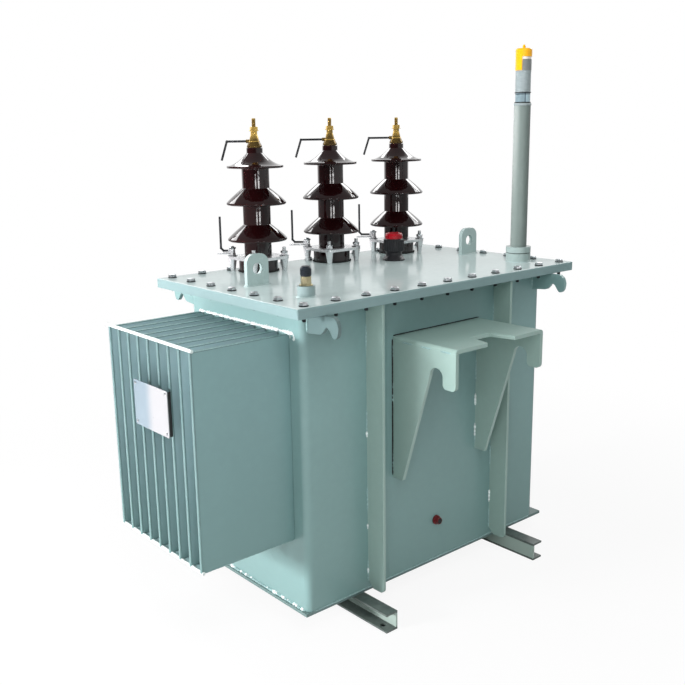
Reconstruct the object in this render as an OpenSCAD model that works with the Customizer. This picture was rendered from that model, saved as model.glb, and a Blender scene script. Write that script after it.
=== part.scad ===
// Three-phase oil-filled distribution transformer on two base channels.
// X runs along the long side, with the cooling fins at -X. Y is the depth, with the
// hanger bracket at -Y and the low-voltage bushings at +Y. Z is up.
// The origin is the middle of the foot bolt rectangle, at ground level. Sizes are in mm.

/* [Base] */
// Height of each base channel
channel_height = 50; // [40:1:80]
// Flange width of each base channel
channel_flange = 37; // [30:1:55]
// Thickness of the channel's web and flanges
channel_wall = 5; // [3:0.5:8]
// Length of each base channel along Y
channel_length = 726; // [560:1:900]
// Distance between the backs of the two channels
channel_spacing = 542; // [360:1:700]
// Diameter of the foot bolt holes
foot_hole_d = 15; // [10:0.5:22]
// Distance from a channel's end to its foot bolt hole
foot_hole_end = 30; // [20:1:80]

/* [Tank] */
// Outer length of the tank
tank_length = 875; // [700:1:1200]
// Outer width of the tank
tank_width = 478; // [380:1:700]
// Height of the tank wall above the floor plate
wall_height = 770; // [600:1:1100]
// Thickness of the tank wall
wall_t = 5; // [3:0.5:10]
// Outer radius of the tank's vertical corners
tank_corner_r = 18; // [8:1:40]
// Thickness of the floor plate
floor_t = 8; // [5:0.5:15]
// Reach of the floor plate past the finned end
floor_over_left = 8; // [0:1:50]
// Reach of the floor plate past the plain end
floor_over_right = 38; // [0:1:60]

/* [Cover] */
// Reach of the cover past the tank's end walls
cover_over_ends = 62.5; // [50:0.5:90]
// Reach of the cover past the tank's long walls
cover_over_sides = 66.5; // [60:0.5:90]
// Thickness of the cover plate
cover_t = 6; // [4:0.5:12]
// Height of the cover's rim
rim_height = 24; // [23:0.5:60]
// Thickness of the cover's rim
rim_t = 6; // [3:0.5:10]
// Radius of the cover's outer edges
cover_edge_r = 5; // [2:0.5:6]
// Thickness of the tank's bolting flange
flange_t = 12; // [6:0.5:16]
// Thickness of the cover gasket
gasket_t = 5; // [2:0.5:6]

/* [Cooling fins] */
// Number of fins
fin_count = 9; // [4:1:12]
// Reach of the fins from the end wall
fin_depth = 267; // [120:1:400]
// Width of the whole bank of fins
fin_bank_width = 380; // [250:1:420]
// Outer thickness of a fin
fin_t = 9; // [7:0.5:16]
// Thickness of the folded sheet
fin_sheet = 1.5; // [1:0.1:2.5]
// Height of a fin
fin_height = 517; // [300:1:700]
// Height of the fins' lower edge above the tank's underside
fin_rise = 190; // [60:1:300]
// Diameter of the tie rods across the fin tips
tie_rod_d = 8; // [6:0.5:16]
// Distance that a tie rod runs past the last fin, on the side away from the hanger
tie_rod_over = 14; // [4:1:40]
// Distance that a tie rod runs past the first fin, on the hanger's side
tie_rod_near = 2; // [0:1:40]

/* [Nameplate] */
// Width of the bare nameplate
nameplate_width = 152; // [80:1:220]
// Height of the bare nameplate
nameplate_height = 109; // [60:1:180]
// Thickness of the nameplate
nameplate_t = 2; // [1:0.5:4]
// Distance from the fin tips to the nameplate's back
nameplate_standoff = 20; // [10:1:40]
// Sideways place of the nameplate's middle
nameplate_y = -43; // [-100:1:100]
// Height of the nameplate's middle above the fins' lower edge
nameplate_rise = 366; // [100:1:450]

/* [Stiffeners] */
// Distance between the two upright bars
stiffener_spacing = 474; // [420:1:640]
// Reach of a bar from the wall
stiffener_depth = 58; // [20:1:58]
// Thickness of a bar
stiffener_t = 8; // [5:0.5:15]
// Height of the bars' lower ends above the tank's underside
stiffener_rise = 12; // [10:1:80]

/* [Hanger bracket] */
// Distance between the middles of the two cheeks
hanger_spacing = 317; // [250:1:390]
// Distance from the tank's middle to the bracket's middle
hanger_x = 11.5; // [-30:0.5:30]
// Reach of the bracket from the wall
hanger_depth = 213; // [195:1:260]
// Thickness of the cheeks and the top plate
hanger_t = 10; // [6:0.5:16]
// Depth of the bracket's top below the tank's rim
hanger_drop = 114; // [80:1:140]
// Height of the cheeks along the wall
hanger_height = 374; // [320:1:480]
// Width of the cheeks' lower ends
hanger_foot = 36; // [20:1:70]
// Width of the hook slot
hanger_slot_w = 43; // [24:1:50]
// Width of the lip outside the slot
hanger_lip_w = 41; // [25:1:50]
// Depth of the slot's crown below the bracket's top
hanger_slot_drop = 54; // [35:1:60]
// Depth of the lip's end below the bracket's top
hanger_lip_drop = 102; // [90:1:125]
// Width of the notch in the top plate, at its mouth
hanger_notch_w = 104; // [70:1:150]
// Width of the notch in the top plate, at its inner end
hanger_notch_in = 72; // [40:1:120]
// Depth of the notch in the top plate
hanger_notch_d = 68; // [30:1:110]

/* [Lifting] */
// Reach of a lifting hook from the wall
hook_reach = 111; // [100:1:150]
// Height of a lifting hook
hook_height = 50; // [44:1:70]
// Thickness of a lifting hook
hook_t = 10; // [6:0.5:16]
// Distance from the tank's finned end to the nearer hooks
hook_inset_left = 20; // [19:1:60]
// Distance from the tank's plain end to the nearer hooks
hook_inset_right = 32; // [19:1:60]
// Width of a cover lug
lug_width = 66; // [56:1:90]
// Height of a cover lug
lug_height = 80; // [66:1:110]
// Thickness of a cover lug
lug_t = 12; // [8:0.5:20]
// Diameter of the hole in a cover lug
lug_hole_d = 30; // [20:0.5:36]
// Height of the hole above the cover
lug_hole_rise = 43; // [32:1:60]
// Distance from the cover's finned end to the nearer lug
lug_inset_left = 125; // [80:1:160]
// Distance from the cover's plain end to the nearer lug
lug_inset_right = 85; // [70:1:130]
// Place of the lugs across the cover
lug_y = 20; // [-40:1:40]

/* [High-voltage bushings] */
// Distance between neighbouring bushings
hv_spacing = 265; // [200:1:290]
// Place of the middle bushing along the cover
hv_centre_x = 35; // [-40:1:60]
// Distance from the cover's back edge to the bushings' row
hv_inset = 90.5; // [88:0.5:140]
// Diameter of the porcelain's foot
hv_foot_d = 107; // [90:1:118]
// Height of the porcelain's foot
hv_foot_h = 34; // [20:1:50]
// Diameter of the porcelain's stem
hv_stem_d = 75; // [55:1:85]
// Diameter of a shed
hv_shed_d = 162; // [120:1:190]
// Height of the lowest shed's rim above the cover
hv_first_rim = 91; // [80:1:110]
// Distance from one shed's rim to the next
hv_shed_pitch = 98; // [80:1:120]
// Rise of a shed from its rim to the stem
hv_shed_rise = 38; // [25:1:50]
// Thickness of a shed's rim
hv_rim_t = 6; // [4:0.5:10]
// Diameter of the porcelain's top neck
hv_neck_d = 44; // [36:1:56]
// Height of the porcelain's top above the cover
hv_top = 335; // [325:1:370]
// Side of the square clamp plate
clamp_side = 126; // [118:1:150]
// Thickness of the clamp plate
clamp_t = 8; // [5:0.5:14]
// Gap between the clamp plate and the stem
clamp_gap = 1.5; // [0.5:0.5:4]
// Diameter of the clamp studs
clamp_stud_d = 10; // [6:0.5:14]
// Distance from the clamp's edge to a stud
clamp_stud_edge = 12; // [10:1:16]
// Diameter of the terminal stud
hv_stud_d = 10; // [6:0.5:16]
// Length of the terminal stud above its nut
hv_stud_length = 22; // [12:1:50]
// Diameter of the brass terminal's foot
terminal_d = 41; // [30:1:44]
// Height of the brass terminal below its nut
terminal_h = 45; // [38:1:60]
// Diameter of the arcing horn rods
horn_d = 6; // [4:0.5:8]
// Distance from the first bushing's axis to its lower horn
horn_reach = 104; // [98:1:120]
// Further reach of the horns on the second and third bushings
horn_more = 12; // [0:1:20]
// Height of a lower horn above its root
horn_rise = 94; // [40:1:110]
// Height of an upper horn's drop below its bend
horn_drop = 50; // [20:1:60]
// Size of a lower horn's bend
horn_bend = 7; // [5:1:9]

/* [Filler pipe] */
// Distance from the cover's plain end to the pipe
filler_inset_end = 98; // [90:1:150]
// Distance from the cover's front edge to the pipe
filler_inset_front = 120.5; // [80:0.5:170]
// Outer diameter of the pipe
pipe_d = 46; // [36:0.5:60]
// Wall of the pipe
pipe_wall = 3; // [2:0.5:5]
// Diameter of the pipe's foot flange
filler_flange_d = 70; // [64:1:84]
// Height of the foot flange's top
filler_flange_h = 43; // [30:1:60]
// Height of the sight glass's lower edge
sight_low = 442; // [300:1:480]
// Height of the sight glass
sight_height = 29; // [20:1:60]
// Height of the metal neck above the sight glass
neck_height = 58; // [40:1:90]
// Outer diameter of the cap
cap_d = 45; // [42:0.5:60]
// Height of the cap
cap_height = 58; // [45:1:90]

/* [Tap changer and thermometer pocket] */
// Place of the tap changer along the cover
tap_x = 171; // [120:1:230]
// Distance from the bushings' row to the tap changer
tap_setback = 123; // [115:1:170]
// Diameter of the tap changer's body
tap_body_d = 57; // [48:1:70]
// Height of the tap changer's body
tap_body_h = 64; // [50:1:90]
// Height of the tap changer's red cap
tap_cap_h = 16; // [8:1:24]
// Distance from the cover's finned end to the thermometer pocket
pocket_inset_end = 115; // [80:1:170]
// Distance from the cover's front edge to the thermometer pocket
pocket_inset_front = 113.5; // [80:0.5:170]
// Diameter of the pocket's stub
pocket_d = 43; // [34:1:56]
// Height of the pocket's stub
pocket_h = 26; // [16:1:40]

/* [Low-voltage bushings] */
// Number of low-voltage bushings
lv_count = 4; // [3:1:4]
// Distance between neighbouring bushings
lv_spacing = 110; // [90:1:130]
// Height of the bushings above the tank's underside
lv_rise = 640; // [560:1:690]
// Reach of the porcelain from the wall
lv_length = 92; // [70:1:130]
// Diameter of the low-voltage sheds
lv_shed_d = 78; // [60:1:84]
// Diameter of the low-voltage terminal studs
lv_stud_d = 16; // [12:1:20]
// Length of the low-voltage terminal studs
lv_stud_length = 50; // [36:1:70]

/* [Drain] */
// Diameter of the drain plug's collar
plug_d = 26; // [18:1:40]
// Height of the drain plug above the tank's underside
plug_rise = 121; // [60:1:180]
// Place of the drain plug along the front wall
plug_x = 10; // [-60:1:60]

/* [Hidden] */
$fn = 48;
paint = [0.52, 0.63, 0.62];
pale = [0.74, 0.83, 0.83];
porcelain = [0.22, 0.05, 0.05];
brass = [0.76, 0.60, 0.28];
steel = [0.80, 0.81, 0.82];
dark = [0.12, 0.13, 0.14];

floor_z = channel_height;
wall_z = floor_z + floor_t;
flange_top = wall_z + wall_height;
flange_z = flange_top - flange_t;
cover_under = flange_top + gasket_t;
cover_z = cover_under + cover_t;
rim_z = cover_z - rim_height;
rim_gap = 1.5;
cover_length = tank_length + 2 * cover_over_ends;
cover_width = tank_width + 2 * cover_over_sides;
cover_front = -cover_width / 2;
cover_left = -cover_length / 2;
cover_right = cover_length / 2;
hv_y = cover_width / 2 - hv_inset;
tap_y = hv_y - tap_setback;
filler_x = cover_right - filler_inset_end;
filler_y = cover_front + filler_inset_front;
pocket_x = cover_left + pocket_inset_end;
pocket_y = cover_front + pocket_inset_front;
flange_length = cover_length - 2 * (rim_t + rim_gap);
flange_width = cover_width - 2 * (rim_t + rim_gap);
fin_z = floor_z + fin_rise;
fin_top = fin_z + fin_height;
fin_tip_x = -tank_length / 2 - fin_depth;
fin_pitch = (fin_bank_width - fin_t) / (fin_count - 1);
fin_tip_r = 2.5;
rod_sink = 1;
low_rod_sink = tie_rod_d * 0.5;
tank_x = (floor_over_left - floor_over_right) / 2;
foot_hole_x = channel_spacing / 2 + (channel_flange + channel_wall) / 2;
foot_hole_y = channel_length / 2 - foot_hole_end;
front_y = -tank_width / 2;
back_y = tank_width / 2;
hanger_z = flange_top - hanger_drop;
clamp_z = hv_foot_h;
clamp_top = clamp_z + clamp_t;
stud_at = clamp_side / 2 - clamp_stud_edge;
clamp_nut_h = clamp_stud_d * 0.8;
horn_eye_h = horn_d + 6;
horn_z = clamp_top + clamp_nut_h + horn_eye_h / 2;
horn_root = stud_at * sqrt(2) + 12;
horn_turn = 135;
neck_low = sight_low + sight_height;
cap_low = neck_low + neck_height;
terminal_nut_h = hv_stud_d * 0.9;
horn_boss = hv_neck_d / 2;
horn_boss_z = terminal_h * 0.36;
lv_z = floor_z + lv_rise;

// Colours what stands on the floor plate and sets it there. The plate, not the tank, is centred
// on the base, and it reaches further past the tank's plain end.
module on_tank(c) {
    color(c)
        translate([tank_x, 0, 0])
            children();
}

// A flat rectangle with round corners, centred on the origin.
module round_rect(l, w, r) {
    square([l - 2 * r, w], center = true);
    square([l, w - 2 * r], center = true);
    for (x = [-1, 1], y = [-1, 1])
        translate([x * (l / 2 - r), y * (w / 2 - r)])
            circle(r);
}

// A rectangle standing on y = 0 with its two upper corners round.
module arch_rect(w, h, r) {
    intersection() {
        translate([-w / 2, 0])
            square([w, h]);
        union() {
            translate([-w / 2, 0])
                square([w, h - r]);
            translate([-w / 2 + r, 0])
                square([w - 2 * r, h]);
            for (x = [-1, 1])
                translate([x * (w / 2 - r), h - r])
                    circle(r);
        }
    }
}

// Extrudes an outline drawn in Y and Z along X, centred on x.
module plate_x(x, t) {
    translate([x - t / 2, 0, 0])
        rotate([90, 0, 90])
            linear_extrude(t)
                children();
}

// Extrudes an outline drawn in X and Z along Y, centred on y.
module plate_y(y, t) {
    translate([0, y + t / 2, 0])
        rotate([90, 0, 0])
            linear_extrude(t)
                children();
}

// One straight length of rod between two points.
module rod(a, b, d) {
    v = b - a;
    l = norm(v);
    translate(a)
        rotate([0, acos(v[2] / l), atan2(v[1], v[0])])
            cylinder(d = d, h = l);
}

// A channel lying along Y, its back at x = 0 and its flanges towards +X, with two foot holes.
module channel() {
    difference() {
        plate_y(0, channel_length)
            difference() {
                square([channel_flange, channel_height]);
                translate([channel_wall, channel_wall])
                    square([channel_flange, channel_height - 2 * channel_wall]);
            }
        for (y = [-foot_hole_y, foot_hole_y])
            translate([foot_hole_x - channel_spacing / 2, y, -1])
                cylinder(d = foot_hole_d, h = channel_wall + 2);
    }
}

module base_channel_left() {
    color(paint)
        mirror([1, 0, 0])
            translate([channel_spacing / 2, 0, 0])
                channel();
}

module base_channel_right() {
    color(paint)
        translate([channel_spacing / 2, 0, 0])
            channel();
}

module tank_floor() {
    on_tank(paint)
        translate([-tank_length / 2 - floor_over_left, front_y, floor_z])
            cube([tank_length + floor_over_left + floor_over_right, tank_width, floor_t]);
}

module tank_shell() {
    on_tank(paint)
        translate([0, 0, wall_z])
            linear_extrude(wall_height)
                difference() {
                    round_rect(tank_length, tank_width, tank_corner_r);
                    round_rect(tank_length - 2 * wall_t, tank_width - 2 * wall_t, tank_corner_r - wall_t);
                }
}

module tank_flange() {
    on_tank(paint)
        translate([0, 0, flange_z])
            linear_extrude(flange_t)
                difference() {
                    square([flange_length, flange_width], center = true);
                    round_rect(tank_length, tank_width, tank_corner_r);
                }
}

module cover_gasket() {
    on_tank(dark)
        translate([0, 0, flange_top])
            linear_extrude(gasket_t)
                difference() {
                    square([flange_length, flange_width], center = true);
                    square([tank_length - 2 * wall_t, tank_width - 2 * wall_t], center = true);
                }
}

// The cover is a shallow pan turned over: a flat top with a rim all round and soft outer edges.
module cover() {
    on_tank(pale)
        translate([0, 0, rim_z])
            difference() {
                intersection() {
                    linear_extrude(rim_height)
                        round_rect(cover_length, cover_width, cover_edge_r);
                    plate_y(0, cover_width + 2)
                        arch_rect(cover_length, rim_height, cover_edge_r);
                    plate_x(0, cover_length + 2)
                        arch_rect(cover_width, rim_height, cover_edge_r);
                }
                translate([0, 0, -1])
                    linear_extrude(rim_height - cover_t + 1)
                        square([cover_length - 2 * rim_t, cover_width - 2 * rim_t], center = true);
            }
}

// One fin is a folded sheet pocket, open towards the tank and closed at its tip and its ends.
module fin(y) {
    translate([0, y, fin_z])
        difference() {
            linear_extrude(fin_height) {
                translate([fin_tip_x + fin_tip_r, -fin_t / 2])
                    square([fin_depth - fin_tip_r, fin_t]);
                translate([fin_tip_x, -fin_t / 2 + fin_tip_r])
                    square([fin_tip_r, fin_t - 2 * fin_tip_r]);
                for (s = [-1, 1])
                    translate([fin_tip_x + fin_tip_r, s * (fin_t / 2 - fin_tip_r)])
                        circle(fin_tip_r);
            }
            translate([fin_tip_x + 2 * fin_tip_r, -fin_t / 2 + fin_sheet, fin_sheet])
                cube([fin_depth, fin_t - 2 * fin_sheet, fin_height - 2 * fin_sheet]);
        }
}

module cooling_fins() {
    on_tank(paint)
        for (i = [0:fin_count - 1])
            fin(-fin_bank_width / 2 + fin_t / 2 + i * fin_pitch);
}

// A tie rod lies along the fin tips and has a flat where it is welded to each fin.
module tie_rod(z, low, high) {
    x = fin_tip_x + tie_rod_d / 2;
    difference() {
        rod([x, -fin_bank_width / 2 - tie_rod_near, z], [x, fin_bank_width / 2 + tie_rod_over, z], tie_rod_d);
        for (i = [0:fin_count - 1])
            translate([fin_tip_x - 1, -fin_bank_width / 2 + i * fin_pitch, low])
                cube([tie_rod_d + 2, fin_t, high - low]);
    }
}

module fin_tie_rod_top() {
    on_tank(pale)
        tie_rod(fin_top + tie_rod_d / 2 - rod_sink, fin_top - tie_rod_d, fin_top);
}

module fin_tie_rod_bottom() {
    on_tank(pale)
        tie_rod(fin_z - tie_rod_d / 2 + low_rod_sink, fin_z, fin_z + tie_rod_d);
}

// The bracket is a shallow channel that stands off the fin tips.
module nameplate_bracket() {
    strip = 3;
    w = nameplate_width * 0.7;
    h = nameplate_height * 0.55;
    on_tank(paint)
        translate([fin_tip_x - nameplate_standoff, nameplate_y, fin_z + nameplate_rise - h / 2]) {
            translate([nameplate_standoff - strip, -w / 2, 0])
                cube([strip, w, h]);
            for (s = [-1, 1])
                translate([0, s * (w - strip) / 2 - strip / 2, 0])
                    cube([nameplate_standoff, strip, h]);
        }
}

module nameplate() {
    on_tank([0.95, 0.96, 0.97])
        plate_x(fin_tip_x - nameplate_standoff - nameplate_t / 2, nameplate_t)
            translate([nameplate_y, fin_z + nameplate_rise])
                round_rect(nameplate_width, nameplate_height, 3);
}

// Outline of an upright bar, its reach drawn along the first axis.
module stiffener_outline() {
    h = flange_z - floor_z - stiffener_rise;
    bevel = 20;
    r = 12;
    polygon([[bevel, 0], [stiffener_depth - r, 0], [stiffener_depth - r, h], [0, h], [0, bevel]]);
    translate([stiffener_depth - r, r])
        square([r, h - r]);
    translate([stiffener_depth - r, r])
        circle(r);
}

module stiffener(x) {
    on_tank(paint)
        translate([0, front_y, floor_z + stiffener_rise])
            mirror([0, 1, 0])
                plate_x(x, stiffener_t)
                    stiffener_outline();
}

module stiffener_left() {
    stiffener(-stiffener_spacing / 2);
}

module stiffener_right() {
    stiffener(stiffener_spacing / 2);
}

// Outline of a hanger cheek, measured out from the wall and down from the bracket's top.
module cheek_outline() {
    slot_out = hanger_depth - hanger_lip_w;
    slot_in = slot_out - hanger_slot_w;
    slot_r = hanger_slot_w / 2;
    slot_z = -hanger_slot_drop - slot_r;
    lip_r = 12;
    difference() {
        translate([0, slot_z])
            square([hanger_depth, -hanger_t - slot_z]);
        translate([slot_in + slot_r, slot_z])
            circle(slot_r);
    }
    polygon([[0, slot_z], [0, -hanger_height], [hanger_foot, -hanger_height], [slot_in, slot_z]]);
    translate([slot_out, -hanger_lip_drop + lip_r])
        square([hanger_lip_w, hanger_lip_drop - lip_r + slot_z]);
    translate([slot_out + lip_r, -hanger_lip_drop])
        square([hanger_lip_w - 2 * lip_r, lip_r]);
    for (a = [slot_out + lip_r, hanger_depth - lip_r])
        translate([a, -hanger_lip_drop + lip_r])
            circle(lip_r);
}

module hanger_cheek(x) {
    on_tank(paint)
        translate([0, front_y, hanger_z])
            mirror([0, 1, 0])
                plate_x(x, hanger_t)
                    cheek_outline();
}

module hanger_cheek_left() {
    hanger_cheek(hanger_x - hanger_spacing / 2);
}

module hanger_cheek_right() {
    hanger_cheek(hanger_x + hanger_spacing / 2);
}

// The top plate joins the cheeks with a soft bend at each side and has a notch in its outer edge.
module hanger_top_plate() {
    on_tank(paint)
        difference() {
            translate([hanger_x, 0, hanger_z - hanger_t])
                plate_y(front_y - hanger_depth / 2, hanger_depth)
                    arch_rect(hanger_spacing + hanger_t, hanger_t, hanger_t * 0.9);
            translate([hanger_x, front_y - hanger_depth, hanger_z - hanger_t - 1])
                linear_extrude(hanger_t + 2)
                    polygon([
                        [-hanger_notch_w / 2, -1], [hanger_notch_w / 2, -1],
                        [hanger_notch_in / 2, hanger_notch_d], [-hanger_notch_in / 2, hanger_notch_d]
                    ]);
        }
}

// Outline of a lifting hook, as shares of its reach and height: a plate that ends in a round
// finger outside an arched throat.
module hook_outline() {
    shares = [
        [0, 0], [0.41, 0.08], [0.47, 0.12], [0.51, 0.2], [0.56, 0.32], [0.58, 0.4], [0.605, 0.45],
        [0.64, 0.47], [0.675, 0.45], [0.72, 0.38], [0.757, 0.26], [0.8, 0.13], [0.83, 0.06],
        [0.865, 0.03], [0.9, 0.04], [0.94, 0.1], [0.975, 0.22], [0.995, 0.4], [1, 0.56],
        [0.98, 0.72], [0.945, 0.86], [0.88, 0.98], [0.85, 1], [0, 1]
    ];
    polygon([for (s = shares) [s[0] * hook_reach, s[1] * hook_height]]);
}

// A hook on the long wall at side -1 (front) or 1 (back), just under the cover's rim.
module lifting_hook(x, side) {
    on_tank(paint)
        translate([0, side * back_y, rim_z - 1 - hook_height])
            mirror([0, side < 0 ? 1 : 0, 0])
                plate_x(x, hook_t)
                    hook_outline();
}

module lifting_hook_front_left() {
    lifting_hook(-tank_length / 2 + hook_inset_left, -1);
}

module lifting_hook_front_right() {
    lifting_hook(tank_length / 2 - hook_inset_right, -1);
}

module lifting_hook_back_left() {
    lifting_hook(-tank_length / 2 + hook_inset_left, 1);
}

module lifting_hook_back_right() {
    lifting_hook(tank_length / 2 - hook_inset_right, 1);
}

module lifting_lug(x) {
    on_tank(paint)
        translate([x, 0, cover_z])
            difference() {
                plate_y(lug_y, lug_t)
                    arch_rect(lug_width, lug_height, lug_width * 0.36);
                translate([0, lug_y + lug_t, lug_hole_rise])
                    rotate([90, 0, 0])
                        cylinder(d = lug_hole_d, h = 2 * lug_t);
            }
}

module lifting_lug_left() {
    lifting_lug(cover_left + lug_inset_left);
}

module lifting_lug_right() {
    lifting_lug(cover_right - lug_inset_right);
}

module thermometer_pocket() {
    on_tank(pale)
        translate([pocket_x, pocket_y, cover_z])
            cylinder(d = pocket_d, h = pocket_h);
}

module thermometer_fitting() {
    on_tank(brass)
        translate([pocket_x, pocket_y, cover_z + pocket_h]) {
            cylinder(d = 30, h = 3);
            translate([0, 0, 3])
                cylinder(d = 27, h = 19, $fn = 6);
        }
}

module thermometer_cap() {
    on_tank(dark)
        translate([pocket_x, pocket_y, cover_z + pocket_h + 22])
            rotate_extrude()
                polygon([[0, 0], [12.5, 0], [12.5, 20], [9.5, 24], [0, 24]]);
}

// The body stands on a flared skirt and narrows below its grip.
module tap_changer_body() {
    r = tap_body_d / 2;
    on_tank(dark)
        translate([tap_x, tap_y, cover_z])
            rotate_extrude()
                polygon([
                    [0, 0], [r + 4, 0], [r + 4, 4], [r - 4, 14], [r - 5, 24], [r - 0.5, 28],
                    [r, tap_body_h - 3], [r - 2, tap_body_h], [0, tap_body_h]
                ]);
}

module tap_changer_cap() {
    r = tap_body_d / 2 - 2.5;
    on_tank([0.80, 0.06, 0.14])
        translate([tap_x, tap_y, cover_z + tap_body_h])
            rotate_extrude()
                polygon([
                    [0, 0], [r, 0], [r, tap_cap_h * 0.55], [r - 1.5, tap_cap_h * 0.85], [r - 4, tap_cap_h],
                    [r - 8, tap_cap_h], [r - 11, tap_cap_h * 0.7], [0, tap_cap_h * 0.65]
                ]);
}

// The pipe's foot is a boss and a flange with a narrow joint between them.
module filler_flange() {
    joint = 2;
    boss = filler_flange_h * 0.57;
    on_tank(paint)
        translate([filler_x, filler_y, cover_z]) {
            cylinder(d = filler_flange_d, h = boss);
            cylinder(d = filler_flange_d - 6, h = boss + joint);
            translate([0, 0, boss + joint])
                cylinder(d = filler_flange_d, h = filler_flange_h - boss - joint);
        }
}

module tube(d, wall, h) {
    difference() {
        cylinder(d = d, h = h);
        translate([0, 0, -1])
            cylinder(d = d - 2 * wall, h = h + 2);
    }
}

module filler_pipe() {
    on_tank(paint)
        translate([filler_x, filler_y, cover_z + filler_flange_h])
            tube(pipe_d, pipe_wall, sight_low - filler_flange_h);
}

module sight_glass() {
    on_tank([0.62, 0.70, 0.75])
        translate([filler_x, filler_y, cover_z + sight_low])
            tube(pipe_d - 4, pipe_wall, sight_height);
}

module filler_neck() {
    on_tank([0.66, 0.70, 0.70])
        translate([filler_x, filler_y, cover_z + neck_low])
            tube(pipe_d - 4, pipe_wall, neck_height);
}

// The cap has a grey collar, a narrow waist and a domed head with a guard down one side.
module filler_cap() {
    r = cap_d / 2;
    collar = cap_height * 0.5;
    waist = collar + 7;
    on_tank([0.98, 0.66, 0.06])
        translate([filler_x, filler_y, cover_z + cap_low]) {
            cylinder(r = r - 0.8, h = collar);
            cylinder(r = r - 2, h = waist);
            translate([0, 0, waist])
                rotate_extrude()
                    polygon([
                        [0, 0], [r, 0], [r, cap_height - waist - 3], [r - 3, cap_height - waist],
                        [4, cap_height - waist], [4, cap_height - waist + 7], [2.5, cap_height - waist + 10],
                        [0, cap_height - waist + 10]
                    ]);
            rotate([0, 0, 75])
                rotate_extrude(angle = 135)
                    translate([r - 2.7, 0])
                        square([2.5, waist + 2]);
        }
}

// Upper surface of a shed from its rim in to the stem. A power over 1 makes a hollow roof,
// and one under 1 a swelling dome.
function shed_top(z, rise, r_out, r_in, power, n = 8) =
    [for (i = [0:n]) let (t = i / n) [r_out - (r_out - r_in) * t, z + rise * pow(t, power)]];

// One whole shed: the stem below it, its drip rim and its sloping upper surface.
function shed(z, rise, r_out, r_in, r_stem, power) = concat(
    [[r_stem, z - hv_rim_t - 2], [r_out - 8, z - hv_rim_t], [r_out - 2, z - hv_rim_t], [r_out, z - hv_rim_t + 2]],
    shed_top(z, rise, r_out, r_in, power));

// The porcelain is one revolved body: foot, stem, two domed sheds and a roof-shaped top shed.
module hv_porcelain(x) {
    r_stem = hv_stem_d / 2;
    r_shed = hv_shed_d / 2;
    z3 = hv_first_rim + 2 * hv_shed_pitch;
    on_tank(porcelain)
        translate([x, hv_y, cover_z])
            rotate_extrude()
                polygon(concat(
                    [[0, 0], [hv_foot_d / 2, 0], [hv_foot_d / 2, hv_foot_h], [r_stem, hv_foot_h]],
                    shed(hv_first_rim, hv_shed_rise, r_shed, r_stem, r_stem, 0.9),
                    shed(hv_first_rim + hv_shed_pitch, hv_shed_rise, r_shed, r_stem, r_stem, 0.9),
                    shed(z3, hv_shed_rise - 5, r_shed * 0.95, hv_neck_d / 2, r_stem, 1.8),
                    [[hv_neck_d / 2, hv_top - 2], [hv_neck_d / 2 - 2, hv_top], [0, hv_top]]
                ));
}

module hv_porcelain_a() {
    hv_porcelain(hv_centre_x - hv_spacing);
}

module hv_porcelain_b() {
    hv_porcelain(hv_centre_x);
}

module hv_porcelain_c() {
    hv_porcelain(hv_centre_x + hv_spacing);
}

// The clamp presses the porcelain's foot onto the cover. Each stud stands in a leg that widens
// towards the plate, and one stud carries the lower horn.
module hv_clamp(x) {
    on_tank(steel)
        translate([x, hv_y, cover_z]) {
            translate([0, 0, clamp_z])
                linear_extrude(clamp_t)
                    difference() {
                        round_rect(clamp_side, clamp_side, 12);
                        circle(d = hv_stem_d + 2 * clamp_gap, $fn = 96);
                    }
            for (sx = [-1, 1], sy = [-1, 1])
                translate([sx * stud_at, sy * stud_at, 0]) {
                    cylinder(d = clamp_stud_d, h = clamp_top + clamp_nut_h + horn_eye_h + 4);
                    cylinder(d1 = clamp_stud_d * 1.3, d2 = clamp_stud_d * 2.3, h = clamp_z + 1);
                    translate([0, 0, clamp_top])
                        cylinder(d = clamp_stud_d * 1.9, h = clamp_nut_h, $fn = 6);
                }
            rotate([0, 0, horn_turn])
                translate([stud_at * sqrt(2), 0, horn_z]) {
                    translate([0, 0, -horn_eye_h / 2])
                        cylinder(d = clamp_stud_d * 1.5, h = horn_eye_h);
                    translate([3, 0, 0])
                        rotate([0, 90, 0])
                            cylinder(d = horn_d + 3, h = 9);
                }
        }
}

module hv_clamp_a() {
    hv_clamp(hv_centre_x - hv_spacing);
}

module hv_clamp_b() {
    hv_clamp(hv_centre_x);
}

module hv_clamp_c() {
    hv_clamp(hv_centre_x + hv_spacing);
}

// The terminal is a brass cone with a nut and a stud, and a side boss for the upper horn.
module hv_terminal(x) {
    on_tank(brass)
        translate([x, hv_y, cover_z + hv_top]) {
            rotate_extrude()
                polygon([
                    [0, 0], [terminal_d * 0.5, 0], [terminal_d * 0.5, terminal_h * 0.09],
                    [terminal_d * 0.34, terminal_h * 0.36], [terminal_d * 0.25, terminal_h * 0.67],
                    [terminal_d * 0.22, terminal_h * 0.76], [terminal_d * 0.22, terminal_h], [0, terminal_h]
                ]);
            translate([0, 0, terminal_h])
                cylinder(d = hv_stud_d * 2, h = terminal_nut_h, $fn = 6);
            cylinder(d = hv_stud_d, h = terminal_h + terminal_nut_h + hv_stud_length);
            rotate([0, 0, horn_turn])
                translate([0, 0, horn_boss_z])
                    rotate([0, 90, 0])
                        cylinder(d = horn_d + 4, h = horn_boss);
        }
}

module hv_terminal_a() {
    hv_terminal(hv_centre_x - hv_spacing);
}

module hv_terminal_b() {
    hv_terminal(hv_centre_x);
}

module hv_terminal_c() {
    hv_terminal(hv_centre_x + hv_spacing);
}

// A bent rod through a list of points, with a knuckle at each bend.
module bent_rod(points, d) {
    n = len(points) - 1;
    for (i = [0:n - 1]) {
        rod(points[i], points[i + 1], d);
        if (i < n - 1)
            translate(points[i + 1])
                sphere(d = d * 1.2);
    }
}

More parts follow.
